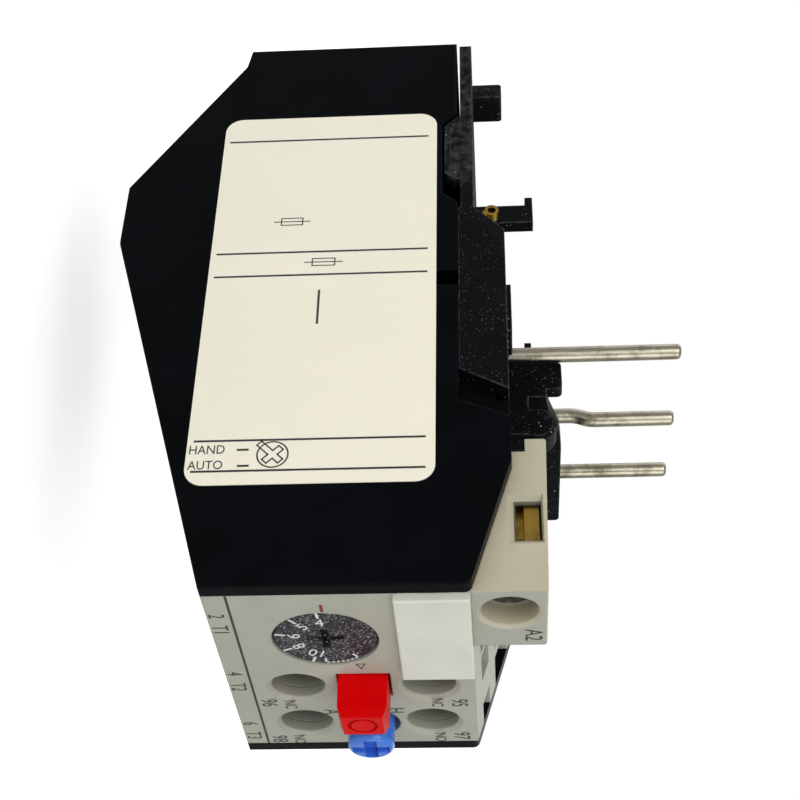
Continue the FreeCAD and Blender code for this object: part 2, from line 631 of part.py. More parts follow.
def front_ribs():
    """Walls of the contact block, which stands on the back of the face."""
    wall_left = TERMINAL_LEFT - SCREW_HOLE / 2 - 1.5
    wall_between = (TERMINAL_LEFT + TERMINAL_RIGHT) / 2 + 0.8
    right = INSIDE - SKIN
    shelf = STOP_HEIGHT + STOP_TALL / 2 + FLANGE_RIM + SLIDING
    ceiling = STOP_HEIGHT - STOP_TALL / 2 - FLANGE_RIM - SLIDING
    chamber_rear = WIRE_WINDOW_DEPTH + WIRE_WINDOW_LENGTH + RIB
    skin = SKIN + SEAM
    lip = SLOPE_DEPTH * -TROUGH_CEILING / SLOPE_DROP
    upper = [(FACE_WALL, shelf), (FACE_WALL, roof_height(FACE_WALL) - skin),
             (chamber_rear, roof_height(chamber_rear) - skin), (chamber_rear, shelf)]
    lower = [(FACE_WALL, slope_height(FACE_WALL) + skin), (FACE_WALL, ceiling), (chamber_rear, ceiling),
             (chamber_rear, TROUGH_CEILING + skin), (lip, TROUGH_CEILING + skin)]
    ribs = [block(wall_left - RIB, right, FACE_WALL, chamber_rear, shelf, shelf + SHELF_THICK),
            block(wall_left - RIB, right, FACE_WALL, chamber_rear, ceiling - SHELF_THICK, ceiling)]
    for left in (wall_left - RIB, wall_between - RIB / 2):
        ribs.append(prism(upper, left, left + RIB))
        ribs.append(prism(lower, left, left + RIB))
    for x, height in TERMINALS.values():
        ribs.append(rod_y(x, height, FACE_WALL, TERMINAL_HEAD_DEPTH, SCREW_HOLE + 2 * RIB))
    ribs.append(centred(STOP_X, STOP_HEIGHT, STOP_WIDTH + 2 * SLIDING + 2 * RIB,
                        STOP_TALL + 2 * SLIDING + 2 * RIB, FACE_WALL, FLANGE_DEPTH - SEAM / 2))
    ribs.append(rod_y(DIAL_X, DIAL_HEIGHT, FACE_WALL, DIAL_THICK + DIAL_RECESS + 2 * RIB, DIAL_DIAMETER + 2 * RIB))
    ribs.append(block(wall_left - RIB, wall_between, STOP_SPRING_SEAT, STOP_SPRING_SEAT + SEAT_THICK, ceiling, shelf))
    ribs.append(block(wall_between, right, RESET_SPRING_SEAT, RESET_SPRING_SEAT + SEAT_THICK, ceiling, shelf))
    pin_x = lever_pivot_x()
    ribs.append(block(pin_x - LEVER_BLOCK / 2, wall_left, chamber_rear - LEVER_BLOCK / 2, CAM_DEPTH - SLIDING - 1,
                      LEVER_PIVOT_HEIGHT - LEVER_BLOCK / 2, LEVER_PIVOT_HEIGHT + LEVER_BLOCK / 2))
    return ribs


def front_holes():
    """Openings that go through the face from the front."""
    holes = []
    for x, height in TERMINALS.values():
        holes.append(rod_y(x, height, -1, TERMINAL_HEAD_DEPTH + TERMINAL_HEAD_HEIGHT, SCREW_HOLE))
        rim = Part.makeCone(SCREW_HOLE / 2 + 0.6, SCREW_HOLE / 2, 0.6, V(x, 0, height), V(0, 1, 0))
        holes.append(rim)
    guide = FLANGE_DEPTH + FLANGE_THICK
    holes.append(centred(STOP_X, STOP_HEIGHT, STOP_WIDTH + 2 * SLIDING, STOP_TALL + 2 * SLIDING, -1, guide))
    holes.append(rod_y(RESET_X, RESET_HEIGHT, -1, guide, RESET_HOLE))
    dial_hole = DIAL_DIAMETER + 2 * SEAM
    holes.append(rod_y(DIAL_X, DIAL_HEIGHT, -1, DIAL_RECESS + DIAL_THICK + SEAM, dial_hole))
    holes.append(rod_y(DIAL_X, DIAL_HEIGHT, 0, CAM_DEPTH, SHAFT_DIAMETER + 2 * RUNNING))
    holes.append(centred(RESET_X, RESET_HEIGHT, RESET_ROD + 2 * SLIDING, RESET_ROD_FLAT + 2 * SLIDING,
                         FLANGE_DEPTH, NOSE_DEPTH))
    holes.append(rod_y(lever_pivot_x(), LEVER_PIVOT_HEIGHT, 8, CAM_DEPTH, LEVER_PIN + 2 * RUNNING))
    holes.append(block(-INSIDE - 1, MARKER_LEG - INSIDE, -1, MARKER_LEG_DEPTH,
                       MARKER_BOTTOM + MARKER_LEGS[0][0], MARKER_BOTTOM + MARKER_NOTCH_TOP))
    return holes


def windows():
    """Lattice in the upper slope: a narrow front row and the wire entries behind it."""
    top = DECK_HEIGHT + 2
    rear_left = TERMINAL_LEFT - 2.1
    rear_right = INSIDE - WIRE_WINDOW_WIDTH
    cuts = []
    spans = ((TERMINAL_LEFT - 10.6, TERMINAL_LEFT - 3.8), (TERMINAL_LEFT - 2.5, TERMINAL_LEFT + 4.2),
             (TERMINAL_RIGHT + 0.5, INSIDE + 1))
    for left, right in spans:
        front = FRONT_WINDOW_DEPTH
        cuts.append(block(left, right, front, front + FRONT_WINDOW_LENGTH, roof_height(front) - 4, top))
    for left, right in ((rear_left, rear_left + WIRE_WINDOW_WIDTH), (rear_right, INSIDE + 1)):
        front = WIRE_WINDOW_DEPTH
        cuts.append(block(left, right, front, front + WIRE_WINDOW_LENGTH, TERMINAL_HIGH - 3, top))
    return cuts


def lower_windows():
    """Wire entries of the two lower terminals, reached from the troughs."""
    cuts = []
    for left, right in ((TERMINAL_LEFT - 2.6, TERMINAL_LEFT + 1.6), (TERMINAL_RIGHT - 2.6, TERMINAL_RIGHT + 2.6)):
        cuts.append(block(left, right, WIRE_WINDOW_DEPTH, WIRE_WINDOW_DEPTH + WIRE_WINDOW_LENGTH,
                          TROUGH_CEILING - 1, TERMINAL_LOW - SCREW_HOLE / 2))
    return cuts


def coil_terminal_block():
    """Separate block on the upper slope that holds the coil terminal."""
    left, right = -INSIDE, COIL_BLOCK_WIDTH - INSIDE
    step = COIL_BLOCK_DEPTH - COIL_STEP_LENGTH
    points = [(0, FACE_HEIGHT), (0, COIL_BLOCK_TOP), (COIL_BLOCK_DEPTH, COIL_BLOCK_TOP + COIL_TOP_SLOPE),
              (COIL_BLOCK_DEPTH, COIL_BLOCK_STEP), (step, COIL_BLOCK_STEP), (step, DECK_HEIGHT),
              (NOSE_DEPTH, DECK_HEIGHT)]
    body = prism(points, left, right)
    body = rounded(body, 0.4, lambda e: along(e, V(1, 0, 0)) and e.BoundBox.ZMin > COIL_BLOCK_TOP - SEAM)
    head_end = COIL_HEAD_DEPTH + COIL_HEAD_HEIGHT + SEAM
    rear = COIL_WINDOW_DEPTH + COIL_WINDOW_LENGTH + RIB
    chamber = coil_chamber(head_end, rear)
    window_top = COIL_WINDOW_BOTTOM + COIL_WINDOW_HEIGHT
    window = block(left - 1, left + 2, COIL_WINDOW_DEPTH, COIL_WINDOW_DEPTH + COIL_WINDOW_LENGTH,
                   COIL_WINDOW_BOTTOM, window_top)
    lead = block(LEAD_LEFT - SEAM, LEAD_LEFT + LEAD_WIDTH + SEAM, rear - 2 * SEAM, COIL_BLOCK_DEPTH - 1,
                 LEAD_HEIGHT - SEAM, LEAD_HEIGHT + LEAD_THICK + SEAM)
    drop = block(LEAD_LEFT - SEAM, LEAD_LEFT + LEAD_WIDTH + SEAM, LEAD_DROP_DEPTH - SEAM,
                 LEAD_DROP_DEPTH + LEAD_THICK + SEAM, DECK_HEIGHT - 1, LEAD_HEIGHT + SEAM)
    screw = rod_y(COIL_SCREW_X, COIL_SCREW_HEIGHT, -1, COIL_HEAD_DEPTH, SCREW_HOLE)
    rim = Part.makeCone(SCREW_HOLE / 2 + 0.4, SCREW_HOLE / 2, 0.4, V(COIL_SCREW_X, 0, COIL_SCREW_HEIGHT), V(0, 1, 0))
    head = rod_y(COIL_SCREW_X, COIL_SCREW_HEIGHT, 0, head_end + 0.5, COIL_HEAD_DIAMETER + 2 * SEAM)
    return cut(body, chamber, window, window_funnel(), lead, drop, screw, rim, head)


def window_funnel():
    """Bevel round the side window, as a four-sided taper."""
    rings = []
    for grow, x in ((WINDOW_BEVEL, -INSIDE - 0.01), (0, WINDOW_BEVEL - INSIDE)):
        front, rear = COIL_WINDOW_DEPTH - grow, COIL_WINDOW_DEPTH + COIL_WINDOW_LENGTH + grow
        bottom, top = COIL_WINDOW_BOTTOM - grow, COIL_WINDOW_BOTTOM + COIL_WINDOW_HEIGHT + grow / 4
        corners = [V(x, front, bottom), V(x, rear, bottom), V(x, rear, top), V(x, front, top)]
        rings.append(Part.makePolygon(corners + corners[:1]))
    return Part.makeLoft(rings, True, True)


def coil_chamber(front, rear):
    left = COIL_CHAMBER_LEFT - INSIDE
    top = COIL_WINDOW_BOTTOM + COIL_WINDOW_HEIGHT
    return block(left, COIL_SCREW_X + COIL_CHAMBER_RIGHT, front, rear, COIL_SCREW_HEIGHT - COIL_CHAMBER_DROP, top)


def coil_clamp():
    """Brass cage behind the side window, with its wire slot."""
    front = COIL_HEAD_DEPTH + COIL_HEAD_HEIGHT
    rear = COIL_WINDOW_DEPTH + COIL_WINDOW_LENGTH + RIB - SEAM
    left = COIL_CHAMBER_LEFT - INSIDE + SEAM
    bottom = COIL_SCREW_HEIGHT - COIL_CHAMBER_DROP + SEAM
    top = COIL_WINDOW_BOTTOM + COIL_WINDOW_HEIGHT - SEAM
    wall = front + SEAM + COIL_WIRE_WALL
    cage = block(left, COIL_SCREW_X + COIL_CHAMBER_RIGHT - SEAM, front + SEAM, rear, bottom, top)
    wire = block(left + COIL_FOOT_WIDTH, COIL_SCREW_X + COIL_SHANK, wall, wall + COIL_WIRE_LENGTH,
                 bottom + COIL_WIRE_RISE, top + 1)
    foot = block(left - 1, left + COIL_FOOT_WIDTH, front, rear + 1, bottom - 1, COIL_WINDOW_BOTTOM + COIL_FOOT_RISE)
    hole = rod_y(COIL_SCREW_X, COIL_SCREW_HEIGHT + COIL_SHANK_RISE, front, rear + 1, COIL_SHANK + 2 * RUNNING)
    return cut(cage, wire, foot, hole)


def coil_screw():
    front = COIL_HEAD_DEPTH
    head = rod_y(COIL_SCREW_X, COIL_SCREW_HEIGHT, front, front + COIL_HEAD_HEIGHT, COIL_HEAD_DIAMETER)
    slot = centred(COIL_SCREW_X, COIL_SCREW_HEIGHT, COIL_HEAD_DIAMETER, 0.9, front - 1, front + 1)
    shank = rod_y(COIL_SCREW_X, COIL_SCREW_HEIGHT + COIL_SHANK_RISE, front + 1,
                  front + COIL_HEAD_HEIGHT + COIL_SHANK_LENGTH, COIL_SHANK)
    return cut(joined(head, shank), slot)


def coil_lead():
    """Brass strip from the coil clamp to the rolled loop behind the shoulder."""
    left, right = LEAD_LEFT, LEAD_LEFT + LEAD_WIDTH
    start = COIL_WINDOW_DEPTH + COIL_WINDOW_LENGTH + RIB - SEAM
    drop_end = LEAD_DROP_DEPTH + LEAD_THICK
    run_top = LEAD_RUN_HEIGHT + LEAD_THICK
    pieces = [block(left, right, start, drop_end, LEAD_HEIGHT, LEAD_HEIGHT + LEAD_THICK),
              block(left, right, LEAD_DROP_DEPTH, drop_end, LEAD_RUN_HEIGHT, LEAD_HEIGHT),
              block(left, right, LEAD_DROP_DEPTH, LOOP_DEPTH, LEAD_RUN_HEIGHT, run_top)]
    ring = rod_x(LOOP_DEPTH, LOOP_HEIGHT, left, right, 2 * LOOP_RADIUS)
    bore = rod_x(LOOP_DEPTH, LOOP_HEIGHT, left - 1, right + 1, 2 * (LOOP_RADIUS - LEAD_THICK * 0.7))
    return cut(joined(pieces[0], pieces[1], pieces[2], ring), bore)


def marker_plate():
    """Blank marker plate on the face, hooked over its left edge."""
    plate = block(-INSIDE, MARKER_WIDTH - INSIDE, -MARKER_THICK, 0, MARKER_BOTTOM, FACE_HEIGHT)
    edge = lambda e: e.BoundBox.YMax < -MARKER_THICK + 0.01
    plate = rounded(plate, 0.25, edge)
    legs = []
    for rise, tall in MARKER_LEGS:
        bottom = MARKER_BOTTOM + rise
        legs.append(block(-INSIDE, MARKER_LEG - INSIDE - SEAM, -MARKER_THICK / 2, MARKER_LEG_DEPTH - SLIDING,
                          bottom + SEAM, bottom + tall))
    return joined(plate, *legs)


def setting_dial():
    """Round scale dial with a cross recess and a turned rim."""
    front = DIAL_RECESS
    disc = rod_y(DIAL_X, DIAL_HEIGHT, front, front + DIAL_THICK, DIAL_DIAMETER)
    disc = rounded(disc, 0.3, lambda e: at(e, front))
    cross = joined(centred(DIAL_X, DIAL_HEIGHT, DIAL_SLOT_LENGTH, DIAL_SLOT_WIDTH, front - 1, front + DIAL_SLOT_DEPTH),
                   centred(DIAL_X, DIAL_HEIGHT, DIAL_SLOT_WIDTH, DIAL_SLOT_LENGTH, front - 1, front + DIAL_SLOT_DEPTH))
    return cut(disc, cross)


def dial_cam():
    """Dial shaft with the eccentric cam that the setting lever follows."""
    front = DIAL_RECESS + DIAL_THICK
    shaft = rod_y(DIAL_X, DIAL_HEIGHT, front, CAM_DEPTH + CAM_THICK + 1, SHAFT_DIAMETER)
    cam = rod_y(DIAL_X + CAM_OFFSET, DIAL_HEIGHT, CAM_DEPTH, CAM_DEPTH + CAM_THICK, CAM_DIAMETER)
    return joined(shaft, cam)


def lever_pivot_x():
    return DIAL_X + CAM_OFFSET + CAM_DIAMETER / 2 + SLIDING + LEVER_THICK / 2


def setting_lever():
    """Strip that hangs beside the cam from its own pivot."""
    x = lever_pivot_x()
    rear = CAM_DEPTH + CAM_THICK
    arm = block(x - LEVER_THICK / 2, x + LEVER_THICK / 2, CAM_DEPTH, rear, LEVER_BOTTOM, LEVER_PIVOT_HEIGHT)
    hub = rod_y(x, LEVER_PIVOT_HEIGHT, CAM_DEPTH, rear, LEVER_PIN + 2 * RIB)
    return cut(joined(arm, hub), rod_y(x, LEVER_PIVOT_HEIGHT, 0, DEPTH, LEVER_PIN + 2 * RUNNING))


def setting_lever_pin():
    return rod_y(lever_pivot_x(), LEVER_PIVOT_HEIGHT, 11, CAM_DEPTH + CAM_THICK + 0.6, LEVER_PIN)


def stop_button():
    """Red push button with a bevelled tip and a ring groove."""
    wide, tall = STOP_WIDTH / 2, STOP_TALL / 2
    bevel_front = STOP_BEVEL - STOP_STANDS
    rings = []
    for depth, inset in ((bevel_front, 0), (-STOP_STANDS, STOP_TIP_INSET)):
        left, right = STOP_X - wide + inset / 6, STOP_X + wide - inset
        bottom, top = STOP_HEIGHT - tall + inset * 0.7, STOP_HEIGHT + tall - inset * 0.6
        corners = [V(left, depth, bottom), V(right, depth, bottom), V(right, depth, top), V(left, depth, top)]
        rings.append(Part.makePolygon(corners + corners[:1]))
    tip = Part.makeLoft(rings, True, True)
    stem = centred(STOP_X, STOP_HEIGHT, STOP_WIDTH, STOP_TALL, bevel_front, FLANGE_DEPTH)
    flange = centred(STOP_X, STOP_HEIGHT, STOP_WIDTH + 2 * FLANGE_RIM, STOP_TALL + 2 * FLANGE_RIM,
                     FLANGE_DEPTH, FLANGE_DEPTH + FLANGE_THICK)
    ring_x = STOP_X - STOP_TIP_INSET / 2
    groove = rod_y(ring_x, STOP_HEIGHT, -STOP_STANDS - 1, STOP_RING_GROOVE - STOP_STANDS, STOP_RING_DIAMETER)
    core = rod_y(ring_x, STOP_HEIGHT, -STOP_STANDS - 1, STOP_RING_GROOVE - STOP_STANDS,
                 STOP_RING_DIAMETER - 2 * STOP_RING_GROOVE)
    return cut(joined(tip, stem, flange), cut(groove, core))


def reset_knob():
    """Blue knob with a crossed slot, on a stem that turns in the reset rod."""
    knob = rod_y(RESET_X, RESET_HEIGHT, -RESET_STANDS, FACE_WALL, RESET_DIAMETER)
    knob = rounded(knob, 0.9, lambda e: at(e, -RESET_STANDS))
    stem = rod_y(RESET_X, RESET_HEIGHT, FACE_WALL, FLANGE_DEPTH, RESET_STEM)
    spigot = rod_y(RESET_X, RESET_HEIGHT, FLANGE_DEPTH, FLANGE_DEPTH + RESET_SPIGOT_LENGTH, RESET_SPIGOT)
    depth = RESET_SLOT_DEPTH - RESET_STANDS
    across = centred(RESET_X, RESET_HEIGHT, RESET_SLOT_LENGTH, RESET_SLOT, -RESET_STANDS - 1, depth)
    upright = centred(RESET_X, RESET_HEIGHT, RESET_SLOT, RESET_SLOT_LENGTH, -RESET_STANDS - 1, depth)
    return cut(joined(knob, stem, spigot), across, upright)


def reset_rod():
    """Flat-sided rod behind the knob, with the flange that its spring pushes on."""
    flange = centred(RESET_X, RESET_HEIGHT, RESET_ROD + 4 * FLANGE_RIM, RESET_ROD + 2 * FLANGE_RIM,
                     FLANGE_DEPTH, FLANGE_DEPTH + FLANGE_THICK)
    rod = rod_y(RESET_X, RESET_HEIGHT, FLANGE_DEPTH + FLANGE_THICK, RESET_ROD_END, RESET_ROD)
    rod = rod.common(centred(RESET_X, RESET_HEIGHT, RESET_ROD, RESET_ROD_FLAT, FLANGE_DEPTH, RESET_ROD_END))
    bore = rod_y(RESET_X, RESET_HEIGHT, 0, FLANGE_DEPTH + RESET_SPIGOT_LENGTH + SEAM, RESET_SPIGOT + 2 * RUNNING)
    return cut(joined(flange, rod), bore)


def coil_spring(x, height, front, rear, diameter):
    """Compression spring along Y, swept turn by turn."""
    length = rear - front - SPRING_WIRE
    pitch = length / SPRING_TURNS
    turns = []
    for turn in range(SPRING_TURNS):
        helix = Part.makeHelix(pitch, pitch, diameter / 2)
        helix.translate(V(0, 0, turn * pitch))
        turns += helix.Edges
    section = Part.Wire(Part.makeCircle(SPRING_WIRE / 2, V(diameter / 2, 0, 0), V(0, 1, 0)))
    spring = Part.Wire(turns).makePipeShell([section], True, True)
    spring.rotate(V(0, 0, 0), V(1, 0, 0), -90)
    spring.translate(V(x, front + SPRING_WIRE / 2, height))
    return spring


def pin_path(phase):
    """Centre line of a conductor: upright pin, run under the deck and drop to the heater."""
    x = phase * PIN_PITCH
    bend, depth, run = PIN_BEND, PIN_DEPTH, PIN_RUN_HEIGHT
    end_depth = SLEEVE_START + 2 * bend / 3
    turn = bend * (1 - 0.5 ** 0.5)
    edges = []
    if phase == 0:
        jog, start, stop = PIN_JOG, PIN_JOG_HEIGHT, PIN_JOG_HEIGHT + PIN_JOG_LENGTH
        middle = (start + stop) / 2
        edges.append(Part.makeLine(V(x, depth - jog, PIN_TIP_HEIGHT), V(x, depth - jog, stop)))
        ease = Part.BezierCurve()
        ease.setPoles([V(x, depth - jog, stop), V(x, depth - jog, middle), V(x, depth, middle), V(x, depth, start)])
        edges.append(ease.toShape())
        edges.append(Part.makeLine(V(x, depth, start), V(x, depth, run + bend)))
    else:
        edges.append(Part.makeLine(V(x, depth, PIN_TIP_HEIGHT), V(x, depth, run + bend)))
    edges.append(Part.Arc(V(x, depth, run + bend), V(x, depth + turn, run + turn), V(x, depth + bend, run)).toShape())
    edges.append(Part.makeLine(V(x, depth + bend, run), V(x, end_depth - bend, run)))
    edges.append(Part.Arc(V(x, end_depth - bend, run), V(x, end_depth - turn, run - turn),
                          V(x, end_depth, run - bend)).toShape())
    edges.append(Part.makeLine(V(x, end_depth, run - bend), V(x, end_depth, winding_top())))
    return Part.Wire(edges)


def conductor_pin(phase):
    """Tinned conductor with a rounded tip and a locking waist in the deck."""
    path = pin_path(phase)
    tip_depth = PIN_DEPTH - (PIN_JOG if phase == 0 else 0)
    centre = V(phase * PIN_PITCH, tip_depth, PIN_TIP_HEIGHT)
    section = Part.Wire(Part.makeCircle(PIN_DIAMETER / 2, centre, V(0, 0, -1)))
    pin = path.makePipeShell([section], True, False)
    tip = lambda e: at(e, height=PIN_TIP_HEIGHT) and e.Length > PIN_DIAMETER
    edges = [e for e in pin.Edges if tip(e)]
    pin = pin.makeFillet(PIN_TIP, edges)
    x, top = phase * PIN_PITCH, DECK_HEIGHT + SEAM / 2
    bottom = top - PIN_WAIST_LENGTH
    waist = cut(rod_z(x, PIN_DEPTH, bottom, top, PIN_DIAMETER + 1),
                rod_z(x, PIN_DEPTH, bottom, top, PIN_DIAMETER - 2 * PIN_WAIST))
    return cut(pin, waist)


def winding_top():
    return BIMETAL_BOTTOM + BIMETAL_WIDTH + SLIDING + SLEEVE_WALL + WINDING_WIRE / 2


def bimetal_strip(phase):
    x = phase * PIN_PITCH
    return block(x - BIMETAL_THICK / 2, x + BIMETAL_THICK / 2, BIMETAL_TIP, BACK - 1,
                 BIMETAL_BOTTOM, BIMETAL_BOTTOM + BIMETAL_WIDTH)


def heater_winding(phase):
    """Insulating sleeve over the bimetal with the heater wire wound round it."""
    x = phase * PIN_PITCH
    middle = BIMETAL_BOTTOM + BIMETAL_WIDTH / 2
    inner_x, inner_z = BIMETAL_THICK + 2 * SLIDING, BIMETAL_WIDTH + 2 * SLIDING
    outer_x, outer_z = inner_x + 2 * SLEEVE_WALL, inner_z + 2 * SLEEVE_WALL
    rear = SLEEVE_START + WINDING_TURNS * WINDING_PITCH + 1
    sleeve = centred(x, middle, outer_x, outer_z, SLEEVE_START, rear)
    for turn in range(WINDING_TURNS):
        front = SLEEVE_START + 1 + turn * WINDING_PITCH
        wire = centred(x, middle, outer_x + WINDING_WIRE, outer_z + WINDING_WIRE, front, front + WINDING_WIRE)
        sleeve = sleeve.fuse(wire)
    return cut(sleeve, centred(x, middle, inner_x, inner_z, 0, DEPTH)).removeSplitter()


def bimetal_block():
    """Insulating block that clamps the fixed ends of the bimetals."""
    bottom = BIMETAL_BOTTOM + BIMETAL_WIDTH / 2 - BIMETAL_BLOCK_HEIGHT / 2
    body = block(SLIDING - INSIDE, INSIDE - SLIDING, BIMETAL_BLOCK_FRONT, BACK, bottom, bottom + BIMETAL_BLOCK_HEIGHT)
    return cut(body, *[bimetal_strip(phase) for phase in PHASES])


def slider(front, side):
    """Comb across the three bimetal tips, with its fingers on one side of each strip."""
    rear = front + SLIDER_THICK
    top = SLIDER_RAIL_BOTTOM + SLIDER_RAIL_HEIGHT
    body = block(-SLIDER_HALF, SLIDER_HALF, front, rear, SLIDER_RAIL_BOTTOM, top)
    for phase in PHASES:
        near = phase * PIN_PITCH + side * (BIMETAL_THICK / 2 + SLIDING)
        far = near + side * FINGER_WIDTH
        body = joined(body, block(min(near, far), max(near, far), front, rear, FINGER_BOTTOM, SLIDER_RAIL_BOTTOM))
    return body


def trip_slider():
    """Rear comb with the arm that reaches forward to the rocker."""
    front = BIMETAL_TIP + 0.6
    arm_right = ROCKER_X - ROCKER_ARM / 2 - SLIDING
    arm = block(arm_right - 2, arm_right, PIN_DEPTH - 3, front, SLIDER_RAIL_BOTTOM, SLIDER_RAIL_BOTTOM + 3)
    return joined(slider(front, 1), arm)


def differential_slider():
    return slider(BIMETAL_TIP + 0.6 + SLIDER_THICK + 2 * SLIDING, -1)


def trip_rocker():
    """Rocker that opens the closed contact and closes the open one."""
    hub = rod_z(ROCKER_X, ROCKER_DEPTH, ROCKER_BOTTOM, ROCKER_TOP, ROCKER_HUB)
    half = ROCKER_ARM / 2
    rear = block(ROCKER_X - half, ROCKER_X + half, ROCKER_DEPTH, PIN_DEPTH - 2, SLIDER_RAIL_BOTTOM, ROCKER_TOP)
    nose_rear = LEAF_DEPTH - SLIDING
    low, high = CONTACT_HEIGHT + 2.5, CONTACT_HEIGHT + 5.0
    side = block(ROCKER_X - 2.8, ROCKER_X - 1.3, nose_rear - ROCKER_ARM, ROCKER_DEPTH, low, high)
    nose = block(TERMINAL_LEFT - 0.9, ROCKER_X - 1.3, nose_rear - ROCKER_ARM, nose_rear, low, high)
    behind = LEAF_DEPTH + LEAF_THICK + SLIDING
    push = block(ROCKER_X, TERMINAL_RIGHT + 0.7, behind, behind + ROCKER_ARM, low, high)
    body = joined(hub, rear, side, nose, push)
    return cut(body, rod_z(ROCKER_X, ROCKER_DEPTH, 0, DECK_HEIGHT, ROCKER_PIN + 2 * RUNNING))


def rocker_pin():
    return rod_z(ROCKER_X, ROCKER_DEPTH, TROUGH_FLOOR_TOP, DECK_HEIGHT - BACK_WALL, ROCKER_PIN)


def contact_spring(x):
    """Leaf with its moving contact and the rolled eye at its root."""
    leaf = block(x - LEAF_WIDTH / 2, x + LEAF_WIDTH / 2, LEAF_DEPTH, LEAF_DEPTH + LEAF_THICK, LEAF_BOTTOM, LEAF_TOP)
    contact = rod_y(x, CONTACT_HEIGHT, LEAF_DEPTH - CONTACT_THICK, LEAF_DEPTH, CONTACT_DIAMETER)
    eye = rod_x(LEAF_DEPTH + LEAF_THICK / 2, LEAF_TOP - LEAF_EYE / 2, x - LEAF_WIDTH / 2, x + LEAF_WIDTH / 2, LEAF_EYE)
    return joined(leaf, contact, eye)


def terminal_depths():
    clamp_front = TERMINAL_HEAD_DEPTH + TERMINAL_HEAD_HEIGHT
    strip_front = clamp_front + TERMINAL_PLATE_THICK + TERMINAL_WIRE_GAP
    return clamp_front, strip_front


def auxiliary_terminal(number):
    """Saddle, threaded plate and the strip that leads to the contacts."""
    x, height = TERMINALS[number]
    clamp_front, strip_front = terminal_depths()
    strip_rear = strip_front + TERMINAL_PLATE_THICK
    plate = centred(x, height, TERMINAL_PLATE, TERMINAL_PLATE, strip_front, strip_rear)
    saddle = centred(x, height, TERMINAL_PLATE, TERMINAL_PLATE, clamp_front, clamp_front + TERMINAL_PLATE_THICK)
    left, right = x - LEAF_WIDTH / 2, x + LEAF_WIDTH / 2
    side = x - TERMINAL_PLATE / 2
    web = block(side, side + STRIP, clamp_front, strip_rear, height - TERMINAL_PLATE / 2, height + TERMINAL_PLATE / 2)
    pieces = [saddle, web]
    if height > DECK_HEIGHT / 2:
        top = height + TERMINAL_PLATE / 2
        leaf_rear = LEAF_DEPTH + STRIP
        pieces.append(block(left, right, strip_rear, leaf_rear, top - STRIP, top))
        pieces.append(block(left, right, LEAF_DEPTH, leaf_rear, LEAF_TOP + SLIDING, top))
    else:
        gap = CONTACT_GAP if number == 98 else 0
        contact_rear = LEAF_DEPTH - CONTACT_THICK - gap
        tab_rear = contact_rear - CONTACT_THICK
        foot = CONTACT_HEIGHT - CONTACT_DIAMETER / 2 - STRIP
        pieces.append(block(left, right, strip_rear, tab_rear, foot, foot + STRIP))
        pieces.append(block(left, right, tab_rear - STRIP, tab_rear, foot, CONTACT_HEIGHT + CONTACT_DIAMETER / 2))
        pieces.append(rod_y(x, CONTACT_HEIGHT, tab_rear, contact_rear, CONTACT_DIAMETER))
    body = joined(plate, *pieces)
    return cut(body, rod_y(x, height, 0, strip_rear, TERMINAL_SHANK + 2 * RUNNING))


def terminal_screw(x, height, front, head_diameter, head_height, shank_diameter, shank_end):
    """Cheese-head screw with a crossed slot."""
    head = rod_y(x, height, front, front + head_height, head_diameter)
    head = rounded(head, 0.3, lambda e: at(e, front))
    shank = rod_y(x, height, front + head_height, shank_end, shank_diameter)
    slot = centred(x, height, head_diameter, 1.0, front - 1, front + 1.1)
    cross = centred(x, height, 1.0, head_diameter * 0.6, front - 1, front + 1.1)
    return cut(joined(head, shank), slot, cross)


def auxiliary_screw(number):
    x, height = TERMINALS[number]
    end = terminal_depths()[1] + TERMINAL_PLATE_THICK
    return terminal_screw(x, height, TERMINAL_HEAD_DEPTH, TERMINAL_HEAD_DIAMETER, TERMINAL_HEAD_HEIGHT,
                          TERMINAL_SHANK, end)


def load_depths():
    clamp_front = LOAD_HEAD_DEPTH + LOAD_HEAD_HEIGHT
    plate_front = clamp_front + LOAD_PLATE_THICK + LOAD_WIRE_GAP
    return clamp_front, plate_front


def load_terminal(phase):
    """Terminal plate in the trough and the bar that comes from the heater's rear end."""
    x = phase * TROUGH_PITCH
    plate_front = load_depths()[1]
    plate_rear = plate_front + LOAD_PLATE_THICK
    half = LOAD_PLATE_WIDTH / 2
    bottom = 2 * LOAD_SCREW_HEIGHT - LOAD_PLATE_TOP
    plate = block(x - half, x + half, plate_front, plate_rear, bottom, LOAD_PLATE_TOP)
    plate = cut(plate, rod_y(x, LOAD_SCREW_HEIGHT, 0, plate_rear + 1, LOAD_SHANK + 2 * RUNNING))
    left, right = x - BUSBAR_WIDTH / 2, x + BUSBAR_WIDTH / 2
    thick = LOAD_PLATE_THICK
    low = LOAD_PLATE_TOP - thick
    heater_end = SLEEVE_START + WINDING_TURNS * WINDING_PITCH
    heater_bottom = 2 * BIMETAL_BOTTOM + BIMETAL_WIDTH - winding_top()
    pieces = [block(left, right, plate_front, BUSBAR_RISER + thick, low, LOAD_PLATE_TOP),
              block(left, right, BUSBAR_RISER, BUSBAR_RISER + thick, low, BUSBAR_HEIGHT),
              block(left, right, BUSBAR_RISER, heater_end, BUSBAR_HEIGHT, BUSBAR_HEIGHT + thick),
              block(left, right, heater_end - thick, heater_end, BUSBAR_HEIGHT, heater_bottom)]
    return joined(plate, *pieces)


